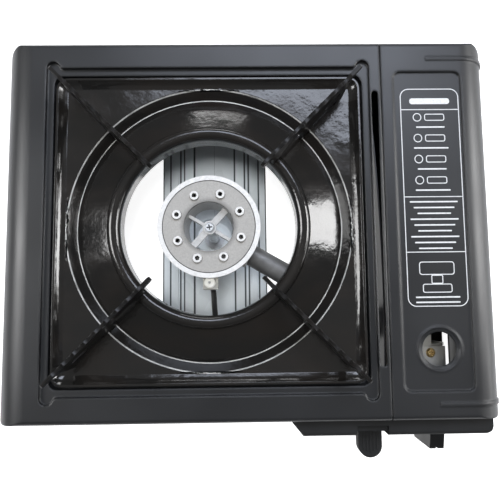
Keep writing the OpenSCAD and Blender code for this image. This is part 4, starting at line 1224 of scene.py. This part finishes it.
@dataclass
class Cover(Assembly):
    """Hinged cartridge cover with its printed panel of plain shapes."""

    body: Body = Body.COVER
    left: float = 106.0 * MM
    right: float = 147.0 * MM
    back: float = 96.0 * MM
    front: float = -55.3 * MM
    dividers: tuple[float, ...] = (81.0 * MM, 19.5 * MM, -18.5 * MM)
    corner: float = 6.0 * MM
    line: float = 0.6 * MM
    film: float = 0.06 * MM
    bar_round: float = 0.45
    sunk_depth: float = 1.2 * MM
    origin: Point = field(init=False)

    finishes: ClassVar[dict[str, Finish]] = {
        "cartridge_cover": COVER_PAINT,
        "hinge_pins": STEEL_ROD,
    }

    def pieces(self) -> None:
        """Builds the frame, its dividers and the plain shapes inside it."""
        low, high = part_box("body_shell")
        middle = (self.left + self.right) / 2
        self.origin = (middle, (low.y + high.y) / 2, high.z - self.sunk_depth)
        width, depth = self.right - self.left, self.back - self.front
        outline = self.mark(0.0, (self.back + self.front) / 2, width, depth, self.corner)
        lines = [self.mark(0.0, y, width - self.line, self.line) for y in self.dividers]
        shapes = [self.mark(*(MM * size for size in shape)) for shape in self.shapes()]
        for name, marks in (("panel_frame", [outline, *lines]), ("panel_shapes", shapes)):
            self.add(name, join_meshes(marks), WHITE_INK, Slot.COVER_PAINT)

    def mark(self, x: float, y: float, width: float, depth: float, radius: float = 0.0) -> Mesh:
        """A film of ink on the sunk panel: an outline, or a bar where it has no radius.

        Args:
            x: Its middle along X, from the middle of the panel.
            y: Its middle along Y, from the middle of the stove.
            width: Size along X.
            depth: Size along Y.
            radius: Radius of an outline's corners.

        Returns:
            The bmesh, in place.
        """
        corner = radius or self.bar_round * min(width, depth)
        film = rounded_film(width, depth, corner, self.film, self.line if radius else 0.0)
        middle_x, middle_y, top = self.origin
        return moved(film, Matrix.Translation((middle_x + x, middle_y + y, top)))

    @staticmethod
    def shapes() -> list[tuple[float, ...]]:
        """The marks that fill the panel's four fields.

        Returns:
            What mark() takes for each of them, in millimetres.
        """
        icon_rows, icon_top, icon_pitch = 4, 75.5, 14.8
        bar_rows, bar_top, bar_pitch = 9, 16.0, 4.0
        made = [(0.0, 87.0, 28.0, 4.2)]
        for row in range(icon_rows):
            y = icon_top - icon_pitch * row
            made += [(-9.0, y, 6.0, 6.0, 3.0), (3.0, y, 14.0, 5.0, 1.5)]
            made.append((0.0, y - 7.0, 20.0 + 4.0 * (row % 2), 1.0))
        for row in range(bar_rows):
            made.append((0.0, bar_top - bar_pitch * row, 33.0 - 5.0 * (row % 3), 1.0))
        made += [(0.0, -29.5, 24.0, 9.0, 2.0), (0.0, -37.0, 8.0, 6.0, 1.0)]
        made += [(0.0, -43.0, 20.0, 6.0, 1.5), (0.0, -49.0, 30.0, 1.0), (0.0, -52.4, 30.0, 1.0)]
        return made


# ---------- studio ----------


@dataclass(frozen=True)
class Softbox:
    """A large soft lamp."""

    name: str
    place: Point
    size: Pair
    radiance: float
    aim: Point = (0.0, 0.05, 0.05)
    colour: Colour = (1.0, 1.0, 1.0)
    glossy: bool = True
    diffuse: bool = True

    def build(self) -> None:
        """Makes the lamp and turns it towards its aim."""
        data = bpy.data.lights.new(self.name, "AREA")
        data.shape = "RECTANGLE"
        data.size, data.size_y = self.size
        data.energy = self.radiance * math.pi * self.size[0] * self.size[1]
        data.color = self.colour
        lamp = bpy.data.objects.new(self.name, data)
        bpy.context.scene.collection.objects.link(lamp)
        lamp.location = self.place
        lamp.visible_glossy = self.glossy
        lamp.visible_diffuse = self.diffuse
        facing = Vector(self.aim) - Vector(self.place)
        lamp.rotation_euler = facing.to_track_quat("-Z", "Y").to_euler()


LAMPS = (
    Softbox("back_box", (0.2, 0.85, 1.4), (1.0, 0.55), 7.0, colour=(0.89, 0.96, 1.12)),
    Softbox(
        "low_back_box", (0.0, 1.6, 0.42), (0.6, 0.18), 9.0, aim=(0.0, 0.1, 0.05), diffuse=False
    ),
    Softbox("right_box", (1.4, 0.26, 0.8), (0.6, 0.56), 18.0, diffuse=False),
    Softbox(
        "low_right_box", (1.7, 0.05, 0.26), (1.0, 0.26), 8.0, aim=(0.1, 0.02, 0.06), diffuse=False
    ),
    Softbox("left_box", (-1.2, 0.12, 0.98), (0.5, 0.7), 14.0, diffuse=False),
    Softbox(
        "top_box", (-0.03, 0.02, 1.6), (0.4, 0.4), 26.0, aim=(-0.03, 0.02, 0.0), glossy=False
    ),
)


@dataclass
class Studio:
    """Pale floor, bright surroundings, lamps and the camera."""

    camera_place: Point = (-0.00548, -0.03526, 0.43739)
    camera_turns: Point = (0.0966506, -0.0164525, -0.0104214)
    focal_share: float = 1.056672
    sensor: float = 36.0
    clip_start: float = 0.01
    floor_size: float = 6.0
    floor_cells: int = 8
    floor_colour: Colour = (0.8, 0.8, 0.8)
    floor_glow: float = 0.9
    bright_way: Point = (0.05, 0.2, 0.98)
    bright_span: Pair = (0.5, 0.92)
    bright_levels: Pair = (0.2, 0.45)

    def build(self) -> None:
        """Builds the whole studio."""
        self.floor()
        self.surroundings()
        for lamp in LAMPS:
            lamp.build()
        self.camera()
        bpy.context.scene.view_settings.view_transform = "Standard"

    def camera(self) -> None:
        """Makes the camera, which looks down at the stove."""
        data = bpy.data.cameras.new("camera")
        data.sensor_width = self.sensor
        data.lens = self.focal_share * self.sensor
        data.clip_start = self.clip_start
        camera = bpy.data.objects.new("camera", data)
        bpy.context.scene.collection.objects.link(camera)
        turn = Matrix.Identity(3)
        for angle, axis in zip(self.camera_turns, "XYZ"):
            turn = turn @ Matrix.Rotation(angle, 3, axis)
        camera.matrix_world = Matrix.Translation(self.camera_place) @ turn.to_4x4()
        bpy.context.scene.camera = camera

    def floor(self) -> None:
        """Makes the white floor, which still shows the stove's shadow."""
        material = bpy.data.materials.new("floor_white")
        tree = NodeTree(material)
        rays = tree.add("LightPath").outputs
        seen = rays["Is Camera Ray"]
        for name in ("Is Glossy Ray", "Is Transmission Ray"):
            seen = tree.calculate("ADD", seen, rays[name], use_clamp=True)
        strength = tree.calculate("MULTIPLY", seen, self.floor_glow)
        glow = tree.add("Emission", {"Strength": strength})
        diffuse = tree.add("BsdfDiffuse", {"Color": with_alpha(self.floor_colour)})
        total = tree.add("AddShader", {0: diffuse.outputs["BSDF"], 1: glow.outputs["Emission"]})
        tree.add("OutputMaterial", {"Surface": total.outputs["Shader"]})
        mesh = bmesh.new()
        cells = self.floor_cells
        bmesh.ops.create_grid(mesh, x_segments=cells, y_segments=cells, size=self.floor_size / 2)
        plane = new_object("floor", mesh, material)

    def surroundings(self) -> None:
        """Makes the world: pale to the camera, dim round the stove and brighter overhead."""
        world = bpy.data.worlds.new("surroundings")
        bpy.context.scene.world = world
        tree = NodeTree(world)
        ways = {0: tree.add("TexCoord").outputs["Generated"], 1: self.bright_way}
        aim = tree.add("VectorMath", ways, operation="DOT_PRODUCT").outputs["Value"]
        level = tree.ranged(aim, self.bright_span, self.bright_levels)
        around = tree.add("Background", {"Strength": level}).outputs["Background"]
        pale = tree.add("Background").outputs["Background"]
        seen = tree.add("LightPath").outputs["Is Camera Ray"]
        choice = tree.add("MixShader", {"Fac": seen, 1: around, 2: pale})
        tree.add("OutputWorld", {"Surface": choice.outputs["Shader"]})


def main() -> None:
    """Builds the studio and dresses the stove."""
    logging.basicConfig(level=logging.INFO, format="%(message)s")
    Studio().build()
    for assembly in (Casing(), Burner(), PanCarrier(), Igniter(), GasInlet(), Controls(), Cover()):
        assembly.build()


if __name__ == "__main__":
    main()
